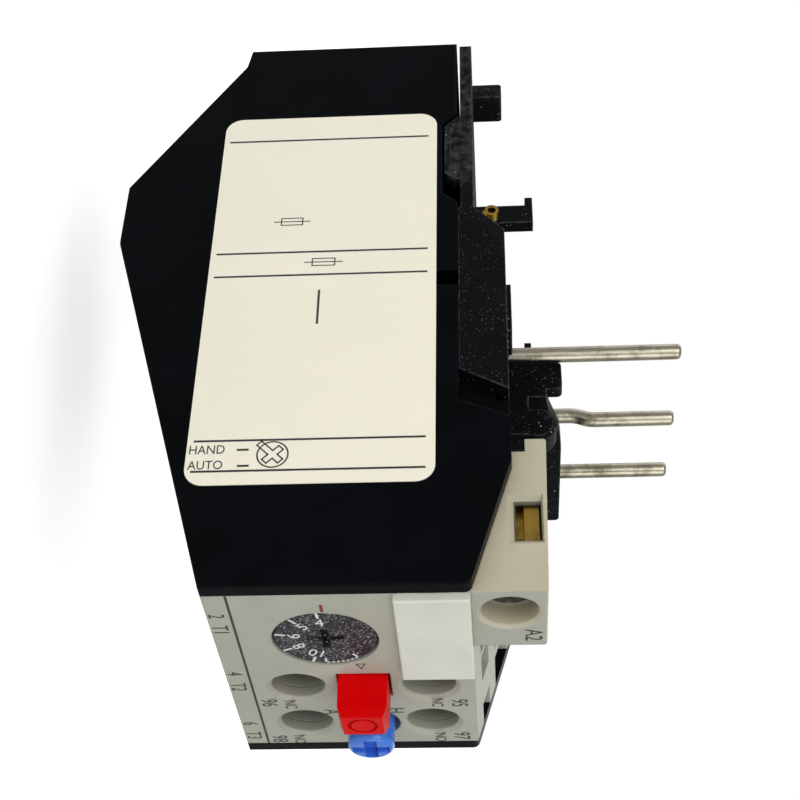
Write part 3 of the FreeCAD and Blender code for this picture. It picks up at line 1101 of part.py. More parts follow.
def load_clamp(phase):
    x = phase * TROUGH_PITCH
    front = load_depths()[0]
    half = LOAD_PLATE_WIDTH / 2
    bottom = 2 * LOAD_SCREW_HEIGHT - LOAD_PLATE_TOP
    plate = block(x - half, x + half, front, front + LOAD_PLATE_THICK, bottom, LOAD_PLATE_TOP)
    return cut(plate, rod_y(x, LOAD_SCREW_HEIGHT, 0, DEPTH, LOAD_SHANK + 2 * RUNNING))


def load_screw(phase):
    end = load_depths()[1] + LOAD_PLATE_THICK + 2
    return terminal_screw(phase * TROUGH_PITCH, LOAD_SCREW_HEIGHT, LOAD_HEAD_DEPTH, LOAD_HEAD_DIAMETER,
                          LOAD_HEAD_HEIGHT, LOAD_SHANK, end)


def build():
    os.makedirs("parts", exist_ok=True)
    flange_rear = FLANGE_DEPTH + FLANGE_THICK
    single = {
        "housing": housing(),
        "side_cover": side_cover(),
        "carrier": carrier(),
        "pin_guard": pin_guard(),
        "front_cover": front_cover(),
        "contact_block": contact_block(),
        "coil_terminal_block": coil_terminal_block(),
        "coil_clamp": coil_clamp(),
        "coil_screw": coil_screw(),
        "coil_lead": coil_lead(),
        "marker_plate": marker_plate(),
        "setting_dial": setting_dial(),
        "dial_cam": dial_cam(),
        "setting_lever": setting_lever(),
        "setting_lever_pin": setting_lever_pin(),
        "stop_button": stop_button(),
        "stop_spring": coil_spring(STOP_X, STOP_HEIGHT, flange_rear, STOP_SPRING_SEAT, STOP_SPRING_DIAMETER),
        "reset_knob": reset_knob(),
        "reset_rod": reset_rod(),
        "reset_spring": coil_spring(RESET_X, RESET_HEIGHT, flange_rear, RESET_SPRING_SEAT, RESET_SPRING_DIAMETER),
        "bimetal_block": bimetal_block(),
        "trip_slider": trip_slider(),
        "differential_slider": differential_slider(),
        "trip_rocker": trip_rocker(),
        "rocker_pin": rocker_pin(),
        "nc_contact_spring": contact_spring(TERMINAL_LEFT),
        "no_contact_spring": contact_spring(TERMINAL_RIGHT),
    }
    for name, shape in single.items():
        write(name, shape)
    for phase in PHASES:
        number = phase + 2
        write(f"conductor_pin_{number}", conductor_pin(phase))
        write(f"bimetal_strip_{number}", bimetal_strip(phase))
        write(f"heater_winding_{number}", heater_winding(phase))
        write(f"load_terminal_{number}", load_terminal(phase))
        write(f"load_clamp_{number}", load_clamp(phase))
        write(f"load_screw_{number}", load_screw(phase))
    for number in TERMINALS:
        write(f"auxiliary_terminal_{number}", auxiliary_terminal(number))
        write(f"auxiliary_screw_{number}", auxiliary_screw(number))


build()
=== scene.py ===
"""Dresses a thermal overload relay: moulded housing, rating label, dial, buttons, terminals and pins."""
import math

import bmesh
import bpy
from mathutils import Matrix, Vector


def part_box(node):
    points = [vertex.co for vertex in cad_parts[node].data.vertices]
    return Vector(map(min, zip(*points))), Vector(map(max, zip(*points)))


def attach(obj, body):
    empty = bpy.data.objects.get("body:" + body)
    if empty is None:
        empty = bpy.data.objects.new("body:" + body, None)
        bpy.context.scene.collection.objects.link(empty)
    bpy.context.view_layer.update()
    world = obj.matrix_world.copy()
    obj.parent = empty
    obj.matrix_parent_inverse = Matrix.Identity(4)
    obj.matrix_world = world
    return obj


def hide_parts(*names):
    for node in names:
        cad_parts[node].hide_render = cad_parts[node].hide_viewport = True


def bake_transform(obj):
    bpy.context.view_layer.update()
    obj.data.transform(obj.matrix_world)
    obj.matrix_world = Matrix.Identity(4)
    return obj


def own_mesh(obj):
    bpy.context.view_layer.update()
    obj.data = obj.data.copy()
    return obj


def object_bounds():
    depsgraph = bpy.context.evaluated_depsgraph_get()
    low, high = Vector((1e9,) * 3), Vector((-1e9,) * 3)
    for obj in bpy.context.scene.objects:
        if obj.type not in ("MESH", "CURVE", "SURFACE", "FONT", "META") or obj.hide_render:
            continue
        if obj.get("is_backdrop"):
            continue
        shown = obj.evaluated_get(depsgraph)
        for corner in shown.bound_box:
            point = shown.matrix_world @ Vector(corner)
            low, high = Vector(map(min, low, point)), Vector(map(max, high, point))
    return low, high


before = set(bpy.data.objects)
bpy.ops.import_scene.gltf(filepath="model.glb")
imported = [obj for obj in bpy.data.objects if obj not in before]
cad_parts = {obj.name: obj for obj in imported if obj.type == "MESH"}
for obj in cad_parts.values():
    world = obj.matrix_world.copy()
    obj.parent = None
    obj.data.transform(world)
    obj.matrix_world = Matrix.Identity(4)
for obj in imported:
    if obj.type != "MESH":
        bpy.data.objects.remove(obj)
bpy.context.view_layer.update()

bl_info = {
    "name": "Thermal overload relay",
    "version": (1, 0, 0),
    "blender": (4, 5, 0),
    "location": "3D View > Sidebar > Relay",
    "description": "Finishes and prints of a thermal overload relay, built round its solid parts",
    "category": "Object",
}

MM = 0.001
FACE_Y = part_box("front_cover")[0].y
DECK_HEIGHT = 0.0375
SIDE_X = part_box("side_cover")[0].x
DIAL_LOW, DIAL_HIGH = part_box("setting_dial")
DIAL_CENTRE = (DIAL_LOW + DIAL_HIGH) / 2
DIAL_RADIUS = (DIAL_HIGH.x - DIAL_LOW.x) / 2
FIXED = "housing_group"
PRINT_LIFT = 0.02 * MM
PRINT_THICK = 0.015 * MM

PHASES = (1, 2, 3)
AUXILIARY_NUMBERS = (95, 96, 97, 98)

# Rating label, in millimetres above the face's lower edge and behind the face
LABEL_FRONT, LABEL_REAR = 14.4 * MM, 80.2 * MM
LABEL_BOTTOM, LABEL_TOP = -3.2 * MM, 28.1 * MM
LABEL_MIDDLE_HEIGHT, LABEL_MIDDLE_DEPTH = (LABEL_BOTTOM + LABEL_TOP) / 2, (LABEL_FRONT + LABEL_REAR) / 2
LABEL_RULES = (75.4, 53.05, 48.8, 21.1, 16.45)
LABEL_DIVIDER = (12.25, 40.0, 46.0)
LABEL_DASHES = ((3.2, 19.65), (3.4, 17.2))
LABEL_DASH_LENGTH = 1.5 * MM
LABEL_LEFT_MARGIN = 0.8 * MM
LABEL_RIGHT_MARGIN = 1.2 * MM
RULE_HALF = 0.15 * MM

# Fuse signs: lower end, upper end and depth; the body's length as a share of the sign's, and half its width
LABEL_FUSES = ((5.3, 10.3, 58.9), (10.0, 15.2, 51.1))
FUSE_BODY_SHARE = 0.6
FUSE_BODY_HALF = 0.65 * MM
FUSE_LINE = 0.15 * MM

# Names of the reset knob's two modes, and the cross in a ring beside them
LABEL_MODES = (("HAND", -0.6, 19.7), ("AUTO", -0.6, 17.35))
LABEL_MODE_SIZE = 1.9 * MM
LABEL_MODE_STRETCH = 0.84
LABEL_SYMBOL = (7.75, 18.85)
SYMBOL_RADIUS = 2.05 * MM
SYMBOL_LINE = 0.2 * MM
SYMBOL_SEGMENTS = 32
CROSS_SHORT, CROSS_LONG, CROSS_HALF = 1.45 * MM, 2.5 * MM, 0.42 * MM
CROSS_LINE = 0.19 * MM

# Marks of the face: text, millimetres right of the centre and above the lower edge, share of the number size
FACE_WORDS = (("96", 7.9, 4.6, 1.0), ("98", 19.0, 4.6, 1.0), ("95", 8.6, 29.9, 1.0), ("97", 18.6, 29.9, 1.0),
              ("H", 10.6, 21.3, 1.0), ("A", 10.8, 12.7, 1.0), ("NC", 8.5, 7.4, 0.72), ("NO", 19.2, 7.4, 0.72),
              ("NC", 8.4, 27.0, 0.72), ("NO", 19.0, 27.0, 0.72), ("2", -15.5, 1.15, 0.93), ("T1", -12.1, 1.15, 0.93),
              ("4", -0.5, 1.15, 0.93), ("T2", 3.2, 1.15, 0.93), ("6", 14.1, 1.15, 0.93), ("T3", 17.8, 1.15, 0.93))
FACE_WORD_STRETCH = 0.72
FACE_RULE_HEIGHT = 3.0 * MM
FACE_RULE_HALF = 0.16 * MM
FACE_RULE_MARGIN = 0.05 * MM
TRIANGLE_CORNERS = ((-2.75, 17.2), (-2.75, 18.3), (-1.5, 17.75))
TRIANGLE_LINE = 0.14 * MM
POINTER_BOX = (-17.9 * MM, -16.2 * MM, 14.0 * MM, 14.4 * MM)
COIL_WORD = ("A2", -9.7, 39.6)
COIL_WORD_STRETCH = 0.8

# Dial scale: degrees from the pointer against the clock, and the number there; radii as shares of the dial's;
# the bracket's first degree, its limit and its step
DIAL_MARKS = ((5, "4"), (40, "5"), (79, "6"), (118, "8"), (160, "10"))
DIAL_OUTER, DIAL_INNER, DIAL_NUMBERS = 0.95, 0.80, 0.6
DIAL_NUMBER_SIZE = 2.4 * MM
DIAL_TICK_LINE = 0.32 * MM
DIAL_BRACKET = (175, 218, 6)
DIAL_BRACKET_LINE = 0.28 * MM

# Flexible parts: travel of each pressed spring, and the rows along a strip
SPRING_TRAVELS = (("stop", 2.5 * MM), ("reset", 2.0 * MM))
STRIP_CUTS = 24

# Meshes: distance that joins points, and the steps of curves
WELD_DISTANCE = 1e-8
LETTER_RESOLUTION = 3
LABEL_CORNER_SEGMENTS = 8

# Specks' outline, rounded edges, ink and drawn metal
WOBBLE_SCALE = 5200.0
WOBBLE_SIZE = (0.0003, 0.0003, 0.0003)
PLASTIC_EDGE_RADIUS = 0.0003
METAL_EDGE_RADIUS = 0.00012
METAL_STREAK = 0.12
INK_ROUGHNESS = 0.5

# Painted shade in the bores, darker with the depth behind the face, and the lighter grey left end of the top moulding
AUXILIARY_SHADE_HALF = 4.2 * MM
COIL_SHADE_HALF = 4.4 * MM
BORE_SHADE_START, BORE_SHADE_END = 0.4 * MM, 5 * MM
BORE_SHADE_STRENGTH = 0.85
LEFT_GREY_WIDTH, LEFT_GREY_WHOLE = 4 * MM, 0.5 * MM
LEFT_GREY_START, LEFT_GREY_STOP = 64 * MM, 68 * MM

# Stage: lamps by name, place, size and power; the camera's lens, place and axes
LAMP_TARGET = (0, 0.01, -0.015)
LAMPS = (("key_lamp", (-0.55, -0.25, 0.30), 0.5, 2.2), ("front_lamp", (-0.05, -0.65, 0.15), 0.5, 1.4),
         ("fill_lamp", (0.55, 0.15, 0.35), 0.6, 1.2), ("back_lamp", (-0.1, 0.65, 0.30), 0.6, 1.0))
WORLD_STRENGTH, WORLD_SEEN, WORLD_MIRRORED = 0.3, 0.7, 0.2
FLOOR_HALF = 4.0
CAMERA_LENS, CAMERA_SENSOR, CAMERA_CLIP = 69.23, 36.0, 0.01
CAMERA_PLACE = (-0.17802, -0.13242, -0.00193)
CAMERA_RIGHT = (0.06341, 0.01792, 0.99783)
CAMERA_UP = (-0.60576, 0.79528, 0.02421)


def on_face(x, height, lift=0.0):
    """Point on the front face, from millimetres right of the centre and above the lower edge."""
    return Vector((x * MM, FACE_Y - lift, height * MM - DECK_HEIGHT))


def on_side(depth, height, lift=0.0):
    """Point on the left side, from millimetres behind the front face and above its lower edge."""
    return Vector((SIDE_X - lift, FACE_Y + depth * MM, height * MM - DECK_HEIGHT))


# ---------------------------------------------------------------- shader groups

def socket(group, name, kind, value=None, out=False):
    """Adds an input or output to a shader group."""
    made = group.interface.new_socket(name=name, in_out="OUTPUT" if out else "INPUT", socket_type=kind)
    if value is not None:
        made.default_value = value


def link(tree, source, target):
    """Joins an output to an input."""
    tree.links.new(source, target)


def math_node(tree, operation, first, second=None, clamp=False):
    """Result of one calculation on numbers or sockets."""
    node = tree.nodes.new("ShaderNodeMath")
    node.operation = operation
    node.use_clamp = clamp
    for slot, value in zip(node.inputs, (first, second)):
        if value is None:
            continue
        if isinstance(value, (int, float)):
            slot.default_value = value
        else:
            link(tree, value, slot)
    return node.outputs[0]


def noise(tree, vector, scale, detail=3.0, roughness=0.5):
    """Noise at a point, mostly between 0.3 and 0.7."""
    node = tree.nodes.new("ShaderNodeTexNoise")
    node.inputs["Detail"].default_value = detail
    node.inputs["Roughness"].default_value = roughness
    link(tree, vector, node.inputs["Vector"])
    if isinstance(scale, (int, float)):
        node.inputs["Scale"].default_value = scale
    else:
        link(tree, scale, node.inputs["Scale"])
    return node.outputs["Fac"]


def spread(tree, value, low, high, out_low, out_high):
    """Value mapped from one range to another, and held inside it."""
    node = tree.nodes.new("ShaderNodeMapRange")
    link(tree, value, node.inputs["Value"])
    for slot, number in zip(("From Min", "From Max", "To Min", "To Max"), (low, high, out_low, out_high)):
        node.inputs[slot].default_value = number
    return node.outputs["Result"]


def mould_grain_group():
    """Fine grain of a moulded surface: a height and a slow mottle."""
    group = bpy.data.node_groups.new("Mould grain", "ShaderNodeTree")
    socket(group, "Vector", "NodeSocketVector")
    socket(group, "Grain scale", "NodeSocketFloat", 4000.0)
    socket(group, "Mottle scale", "NodeSocketFloat", 90.0)
    socket(group, "Height", "NodeSocketFloat", out=True)
    socket(group, "Mottle", "NodeSocketFloat", out=True)
    enter = group.nodes.new("NodeGroupInput")
    leave = group.nodes.new("NodeGroupOutput")
    fine = noise(group, enter.outputs["Vector"], enter.outputs["Grain scale"], 4.0, 0.6)
    slow = noise(group, enter.outputs["Vector"], enter.outputs["Mottle scale"], 3.0, 0.55)
    link(group, fine, leave.inputs["Height"])
    link(group, slow, leave.inputs["Mottle"])
    return group


def specks_group():
    """Small separate specks with an uneven outline, denser in patches, as of dust or glass filler."""
    group = bpy.data.node_groups.new("Specks", "ShaderNodeTree")
    socket(group, "Vector", "NodeSocketVector")
    socket(group, "Speck scale", "NodeSocketFloat", 1500.0)
    socket(group, "Speck size", "NodeSocketFloat", 0.18)
    socket(group, "Patch scale", "NodeSocketFloat", 120.0)
    socket(group, "Amount", "NodeSocketFloat", 0.5)
    socket(group, "Mask", "NodeSocketFloat", out=True)
    enter = group.nodes.new("NodeGroupInput")
    leave = group.nodes.new("NodeGroupOutput")
    wobble = group.nodes.new("ShaderNodeTexNoise")
    wobble.inputs["Scale"].default_value = WOBBLE_SCALE
    link(group, enter.outputs["Vector"], wobble.inputs["Vector"])
    shift = group.nodes.new("ShaderNodeVectorMath")
    shift.operation = "MULTIPLY_ADD"
    link(group, wobble.outputs["Color"], shift.inputs[0])
    shift.inputs[1].default_value = WOBBLE_SIZE
    link(group, enter.outputs["Vector"], shift.inputs[2])
    cells = group.nodes.new("ShaderNodeTexVoronoi")
    link(group, shift.outputs["Vector"], cells.inputs["Vector"])
    link(group, enter.outputs["Speck scale"], cells.inputs["Scale"])
    inside = math_node(group, "LESS_THAN", cells.outputs["Distance"], enter.outputs["Speck size"])
    chosen = group.nodes.new("ShaderNodeSeparateColor")
    link(group, cells.outputs["Color"], chosen.inputs["Color"])
    patch = noise(group, enter.outputs["Vector"], enter.outputs["Patch scale"], 3.0, 0.6)
    level = math_node(group, "MULTIPLY", spread(group, patch, 0.38, 0.66, 0.1, 1.0), enter.outputs["Amount"])
    kept = math_node(group, "LESS_THAN", chosen.outputs["Red"], level)
    link(group, math_node(group, "MULTIPLY", inside, kept), leave.inputs["Mask"])
    return group


def edge_group():
    """Mask that rises at convex and concave edges, from a rounded normal; it places painted edge highlights, partly
    edge wear.
    """
    group = bpy.data.node_groups.new("Painted edge highlight and wear", "ShaderNodeTree")
    socket(group, "Radius", "NodeSocketFloat", PLASTIC_EDGE_RADIUS)
    socket(group, "Mask", "NodeSocketFloat", out=True)
    socket(group, "Rounded normal", "NodeSocketVector", out=True)
    enter = group.nodes.new("NodeGroupInput")
    leave = group.nodes.new("NodeGroupOutput")
    bevel = group.nodes.new("ShaderNodeBevel")
    bevel.samples = 4
    link(group, enter.outputs["Radius"], bevel.inputs["Radius"])
    geometry = group.nodes.new("ShaderNodeNewGeometry")
    dot = group.nodes.new("ShaderNodeVectorMath")
    dot.operation = "DOT_PRODUCT"
    link(group, bevel.outputs["Normal"], dot.inputs[0])
    link(group, geometry.outputs["Normal"], dot.inputs[1])
    turned = math_node(group, "SUBTRACT", 1.0, dot.outputs["Value"])
    link(group, math_node(group, "MULTIPLY", turned, 4.0, clamp=True), leave.inputs["Mask"])
    link(group, bevel.outputs["Normal"], leave.inputs["Rounded normal"])
    return group


def bore_shade_group():
    """Mask of painted shade inside a box round some bores, which rises with the depth behind the face."""
    group = bpy.data.node_groups.new("Painted bore shade", "ShaderNodeTree")
    socket(group, "Vector", "NodeSocketVector")
    for name in ("Middle x", "Half x", "Middle z", "Half z"):
        socket(group, name, "NodeSocketFloat", 0.0)
    socket(group, "Mask", "NodeSocketFloat", out=True)
    enter = group.nodes.new("NodeGroupInput")
    leave = group.nodes.new("NodeGroupOutput")
    parts = group.nodes.new("ShaderNodeSeparateXYZ")
    link(group, enter.outputs["Vector"], parts.inputs["Vector"])
    mask = spread(group, parts.outputs["Y"], FACE_Y + BORE_SHADE_START, FACE_Y + BORE_SHADE_END, 0.0, 1.0)
    for axis in ("x", "z"):
        off = math_node(group, "SUBTRACT", parts.outputs[axis.upper()], enter.outputs["Middle " + axis])
        near = math_node(group, "LESS_THAN", math_node(group, "ABSOLUTE", off), enter.outputs["Half " + axis])
        mask = math_node(group, "MULTIPLY", mask, near)
    link(group, mask, leave.inputs["Mask"])
    return group


def outward_group():
    """Masks of the faces that look out of the front, which get painted light as a colour apart from the sides, and of
    the lighter grey left end of the top moulding.
    """
    group = bpy.data.node_groups.new("Outward", "ShaderNodeTree")
    socket(group, "Mask", "NodeSocketFloat", out=True)
    socket(group, "Left", "NodeSocketFloat", out=True)
    leave = group.nodes.new("NodeGroupOutput")
    place = group.nodes.new("ShaderNodeTexCoord")
    facing = group.nodes.new("ShaderNodeSeparateXYZ")
    link(group, place.outputs["Normal"], facing.inputs["Vector"])
    link(group, spread(group, facing.outputs["Y"], -0.5, -0.9, 0.0, 1.0), leave.inputs["Mask"])
    parts = group.nodes.new("ShaderNodeSeparateXYZ")
    link(group, place.outputs["Object"], parts.inputs["Vector"])
    strip = spread(group, parts.outputs["X"], SIDE_X + LEFT_GREY_WIDTH, SIDE_X + LEFT_GREY_WHOLE, 0.0, 1.0)
    rear = spread(group, parts.outputs["Y"], FACE_Y + LEFT_GREY_START, FACE_Y + LEFT_GREY_STOP, 0.0, 1.0)
    strip = math_node(group, "MULTIPLY", strip, rear)
    broken = spread(group, noise(group, place.outputs["Object"], 700.0, 5.0, 0.7), 0.42, 0.68, 0.0, 1.0)
    link(group, math_node(group, "MULTIPLY", strip, broken), leave.inputs["Left"])
    return group


GROUPS = {}
MAKERS = {"grain": mould_grain_group, "specks": specks_group, "edge": edge_group, "hollow": bore_shade_group,
          "outward": outward_group}


def group_node(tree, name, **values):
    """Adds a shared group to a material, with that material's own values."""
    if name not in GROUPS:
        GROUPS[name] = MAKERS[name]()
    node = tree.nodes.new("ShaderNodeGroup")
    node.node_tree = GROUPS[name]
    for key, value in values.items():
        slot = node.inputs[key.replace("_", " ").capitalize()]
        if isinstance(value, (int, float)):
            slot.default_value = value
        else:
            link(tree, value, slot)
    return node


# ---------------------------------------------------------------- materials

def mix_colour(tree, mask, base, other):
    """Colour between two, each of them a socket or three numbers."""
    node = tree.nodes.new("ShaderNodeMix")
    node.data_type = "RGBA"
    for slot, value in ((node.inputs[0], mask), (node.inputs[6], base), (node.inputs[7], other)):
        if isinstance(value, tuple):
            slot.default_value = (*value, 1.0)
        else:
            link(tree, value, slot)
    return node.outputs[2]


def start_material(name):
    """Material with its shader and Object coordinates."""
    material = bpy.data.materials.new(name)
    material.use_nodes = True
    tree = material.node_tree
    shader = next(n for n in tree.nodes if n.type == "BSDF_PRINCIPLED")
    place = tree.nodes.new("ShaderNodeTexCoord").outputs["Object"]
    return material, tree, shader, place


def bump(tree, height, distance, normal=None):
    """Normal bent by a height of so many metres."""
    node = tree.nodes.new("ShaderNodeBump")
    node.inputs["Distance"].default_value = distance
    link(tree, height, node.inputs["Height"])
    if normal is not None:
        link(tree, normal, node.inputs["Normal"])
    return node.outputs["Normal"]


def moulded_plastic(name, colour, roughness=0.45, grain=4000.0, relief=0.00001, mottle=0.12, gloss=0.5,
                    specks=(), painted_highlight_wear_colour=None, painted_highlight_wear_amount=0.6, coat=0.0, front_lighting_colour=None, left_colour=None,
                    shaded_bores=()):
    """Moulded plastic with grain, mottled colour and rounded edges lightened by painted highlights, partly by wear.

    Each entry of specks holds their scale, size, amount and colour. Each of shaded_bores is a node whose bore
    gets painted shade, with the half width of the box round it. The front lighting colour covers faces that look
    out of the front, painted light that sets them apart from the sides, and the left colour the lighter grey left end.
    """
    material, tree, shader, place = start_material(name)
    moulded = group_node(tree, "grain", vector=place, grain_scale=grain)
    edge = group_node(tree, "edge", radius=PLASTIC_EDGE_RADIUS)
    dark = tuple(c * (1 - mottle) for c in colour)
    light = tuple(min(1.0, c * (1 + mottle)) for c in colour)
    shade = spread(tree, moulded.outputs["Mottle"], 0.35, 0.65, 0.0, 1.0)
    tint = mix_colour(tree, shade, dark, light)
    # Painted light: faces that look out of the front take another colour than the sides, as differently lit copies of
    # one plastic.
    if front_lighting_colour:
        tint = mix_colour(tree, group_node(tree, "outward").outputs["Mask"], tint, front_lighting_colour)
    # Lighter grey patches at the left rear end of the top moulding.
    if left_colour:
        tint = mix_colour(tree, group_node(tree, "outward").outputs["Left"], tint, left_colour)
    # Painted edge highlight, partly edge wear: a lighter colour along the rounded edges.
    if painted_highlight_wear_colour:
        broken = spread(tree, noise(tree, place, 1300.0, 4.0, 0.65), 0.42, 0.6, 0.15, 1.0)
        amount = math_node(tree, "MULTIPLY", edge.outputs["Mask"], broken)
        tint = mix_colour(tree, math_node(tree, "MULTIPLY", amount, painted_highlight_wear_amount), tint, painted_highlight_wear_colour)
    rough = spread(tree, moulded.outputs["Mottle"], 0.3, 0.7, roughness * 0.88, roughness * 1.12)
    for scale, size, amount, speck_colour in specks:
        dots = group_node(tree, "specks", vector=place, amount=amount, speck_scale=scale, speck_size=size)
        tint = mix_colour(tree, dots.outputs["Mask"], tint, speck_colour)
    # Painted shade: the bore walls darken with their depth behind the face.
    for node, half in shaded_bores:
        low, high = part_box(node)
        inside = group_node(tree, "hollow", vector=place, middle_x=(low.x + high.x) / 2, half_x=half,
                            middle_z=(low.z + high.z) / 2, half_z=half).outputs["Mask"]
        shadow = math_node(tree, "MULTIPLY", inside, BORE_SHADE_STRENGTH)
        tint = mix_colour(tree, shadow, tint, tuple(c * 0.1 for c in colour))
    link(tree, tint, shader.inputs["Base Color"])
    link(tree, rough, shader.inputs["Roughness"])
    shader.inputs["Specular IOR Level"].default_value = gloss
    shader.inputs["Coat Weight"].default_value = coat
    link(tree, bump(tree, moulded.outputs["Height"], relief, edge.outputs["Rounded normal"]), shader.inputs["Normal"])
    return material


def plated_metal(name, colour, roughness, tarnish=(0.3, 0.28, 0.25), tarnished=0.25):
    """Metal with drawn streaks and a little tarnish."""
    material, tree, shader, place = start_material(name)
    stretch = tree.nodes.new("ShaderNodeMapping")
    stretch.inputs["Scale"].default_value = (1.0, 1.0, 0.08)
    link(tree, place, stretch.inputs["Vector"])
    streaks = noise(tree, stretch.outputs["Vector"], 3500.0, 3.0, 0.6)
    spots = noise(tree, place, 420.0, 4.0, 0.6)
    dull = spread(tree, spots, 0.5, 0.75, 0.0, tarnished)
    link(tree, mix_colour(tree, dull, colour, tarnish), shader.inputs["Base Color"])
    rough = spread(tree, streaks, 0.3, 0.7, roughness - METAL_STREAK / 2, roughness + METAL_STREAK)
    link(tree, rough, shader.inputs["Roughness"])
    shader.inputs["Metallic"].default_value = 1.0
    edge = group_node(tree, "edge", radius=METAL_EDGE_RADIUS)
    link(tree, bump(tree, streaks, 0.000006, edge.outputs["Rounded normal"]), shader.inputs["Normal"])
    return material


def print_ink(name, colour):
    """Printed ink with slightly uneven cover."""
    material, tree, shader, place = start_material(name)
    patches = noise(tree, place, 900.0, 3.0, 0.6)
    worn = tuple(c * 0.7 + 0.3 * 0.25 for c in colour)
    link(tree, mix_colour(tree, spread(tree, patches, 0.45, 0.8, 0.0, 0.5), colour, worn), shader.inputs["Base Color"])
    rough = spread(tree, patches, 0.3, 0.7, INK_ROUGHNESS - 0.08, INK_ROUGHNESS + 0.08)
    link(tree, rough, shader.inputs["Roughness"])
    return material


def paper_label(name, colour):
    """Printed film label: faint mottling, a soft sheen and a fine bump."""
    material, tree, shader, place = start_material(name)
    moulded = group_node(tree, "grain", vector=place, grain_scale=2500.0, mottle_scale=60.0)
    tint = mix_colour(tree, spread(tree, moulded.outputs["Mottle"], 0.3, 0.7, 0.0, 1.0),
                      tuple(c * 0.97 for c in colour), colour)
    dots = group_node(tree, "specks", vector=place, amount=0.05, speck_scale=700.0, speck_size=0.1)
    link(tree, mix_colour(tree, dots.outputs["Mask"], tint, (0.3, 0.27, 0.2)), shader.inputs["Base Color"])
    link(tree, spread(tree, moulded.outputs["Mottle"], 0.3, 0.7, 0.36, 0.46), shader.inputs["Roughness"])
    link(tree, bump(tree, moulded.outputs["Height"], 0.000004), shader.inputs["Normal"])
    return material


# ---------------------------------------------------------------- mesh helpers

def new_piece(name, mesh, body, material):
    """Object at the origin that rides on a body, with its material and slot."""
    piece = bpy.data.objects.new(name, mesh)
    bpy.context.scene.collection.objects.link(piece)
    mesh.materials.append(material)
    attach(piece, body)
    return piece


def dress(node, material):
    """Gives a CAD node its material."""
    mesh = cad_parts[node].data
    mesh.materials.clear()
    mesh.materials.append(material)


def face_turn(centre):
    """Turns a flat design so that it reads on the front face."""
    return Matrix.Translation(centre) @ Matrix.Rotation(math.pi / 2, 4, "X")


def side_turn(centre):
    """Turns a flat design so that it reads on the left side, with its top towards the back."""
    turn = Matrix(((0, 0, -1, 0), (0, 1, 0, 0), (1, 0, 0, 0), (0, 0, 0, 1)))
    return Matrix.Translation(centre) @ turn


def add_bar(bm, left, right, bottom, top):
    """Flat bar in the design plane, as a thin box."""
    size = Vector((right - left, top - bottom, PRINT_THICK))
    middle = Vector(((left + right) / 2, (bottom + top) / 2, 0))
    made = bmesh.ops.create_cube(bm, size=1.0)
    bmesh.ops.scale(bm, vec=size, verts=made["verts"])
    bmesh.ops.translate(bm, vec=middle, verts=made["verts"])


def add_stroke(bm, start, end, width):
    """Straight stroke between two points of the design plane."""
    made = bmesh.ops.create_cube(bm, size=1.0)
    run = end - start
    bmesh.ops.scale(bm, vec=(run.length + width, width, PRINT_THICK), verts=made["verts"])
    turn = Matrix.Rotation(math.atan2(run.y, run.x), 3, "Z")
    bmesh.ops.rotate(bm, cent=(0, 0, 0), matrix=turn, verts=made["verts"])
    bmesh.ops.translate(bm, vec=(start + end) / 2, verts=made["verts"])


def add_ring(bm, centre, radius, width):
    """Flat ring in the design plane."""
    angles = [2 * math.pi * step / SYMBOL_SEGMENTS for step in range(SYMBOL_SEGMENTS)]
    outer, inner = ([bm.verts.new(centre + Vector((math.cos(angle), math.sin(angle), 0)) * reach)
                     for angle in angles] for reach in (radius, radius - width))
    for step in range(SYMBOL_SEGMENTS):
        bm.faces.new((outer[step - 1], outer[step], inner[step], inner[step - 1]))


def add_outline(bm, points, width):
    """Strokes round a closed row of points."""
    for start, end in zip(points, points[1:] + points[:1]):
        add_stroke(bm, start, end, width)


def add_words(bm, text, centre, size, turn=0.0, stretch=1.0):
    """Letters or numbers in the design plane, centred on a point."""
    curve = bpy.data.curves.new("marking", "FONT")
    curve.body = text
    curve.size = size
    curve.align_x = "CENTER"
    curve.align_y = "CENTER"
    curve.resolution_u = LETTER_RESOLUTION
    curve.extrude = PRINT_THICK / 2
    carrier = bpy.data.objects.new("marking", curve)
    bpy.context.scene.collection.objects.link(carrier)
    bpy.context.view_layer.update()
    mesh = bpy.data.meshes.new_from_object(carrier)
    bpy.data.objects.remove(carrier)
    bpy.data.curves.remove(curve)
    mesh.transform(Matrix.Translation(centre) @ Matrix.Rotation(turn, 4, "Z") @ Matrix.Diagonal((stretch, 1, 1, 1)))
    bm.from_mesh(mesh)
    bpy.data.meshes.remove(mesh)


def finish_mesh(bm, name, matrix):
    """Closes a bmesh into a mesh, placed in the frame."""
    bmesh.ops.remove_doubles(bm, verts=bm.verts, dist=WELD_DISTANCE)
    bmesh.ops.transform(bm, matrix=matrix, verts=bm.verts)
    bmesh.ops.recalc_face_normals(bm, faces=bm.faces)
    mesh = bpy.data.meshes.new(name)
    bm.to_mesh(mesh)
    bm.free()
    return mesh


# ---------------------------------------------------------------- settings

def colour_property(name, description, default):
    """Colour setting of the panel."""
    return bpy.props.FloatVectorProperty(name=name, description=description, default=default,
                                         subtype="COLOR", size=3, min=0.0, max=1.0)


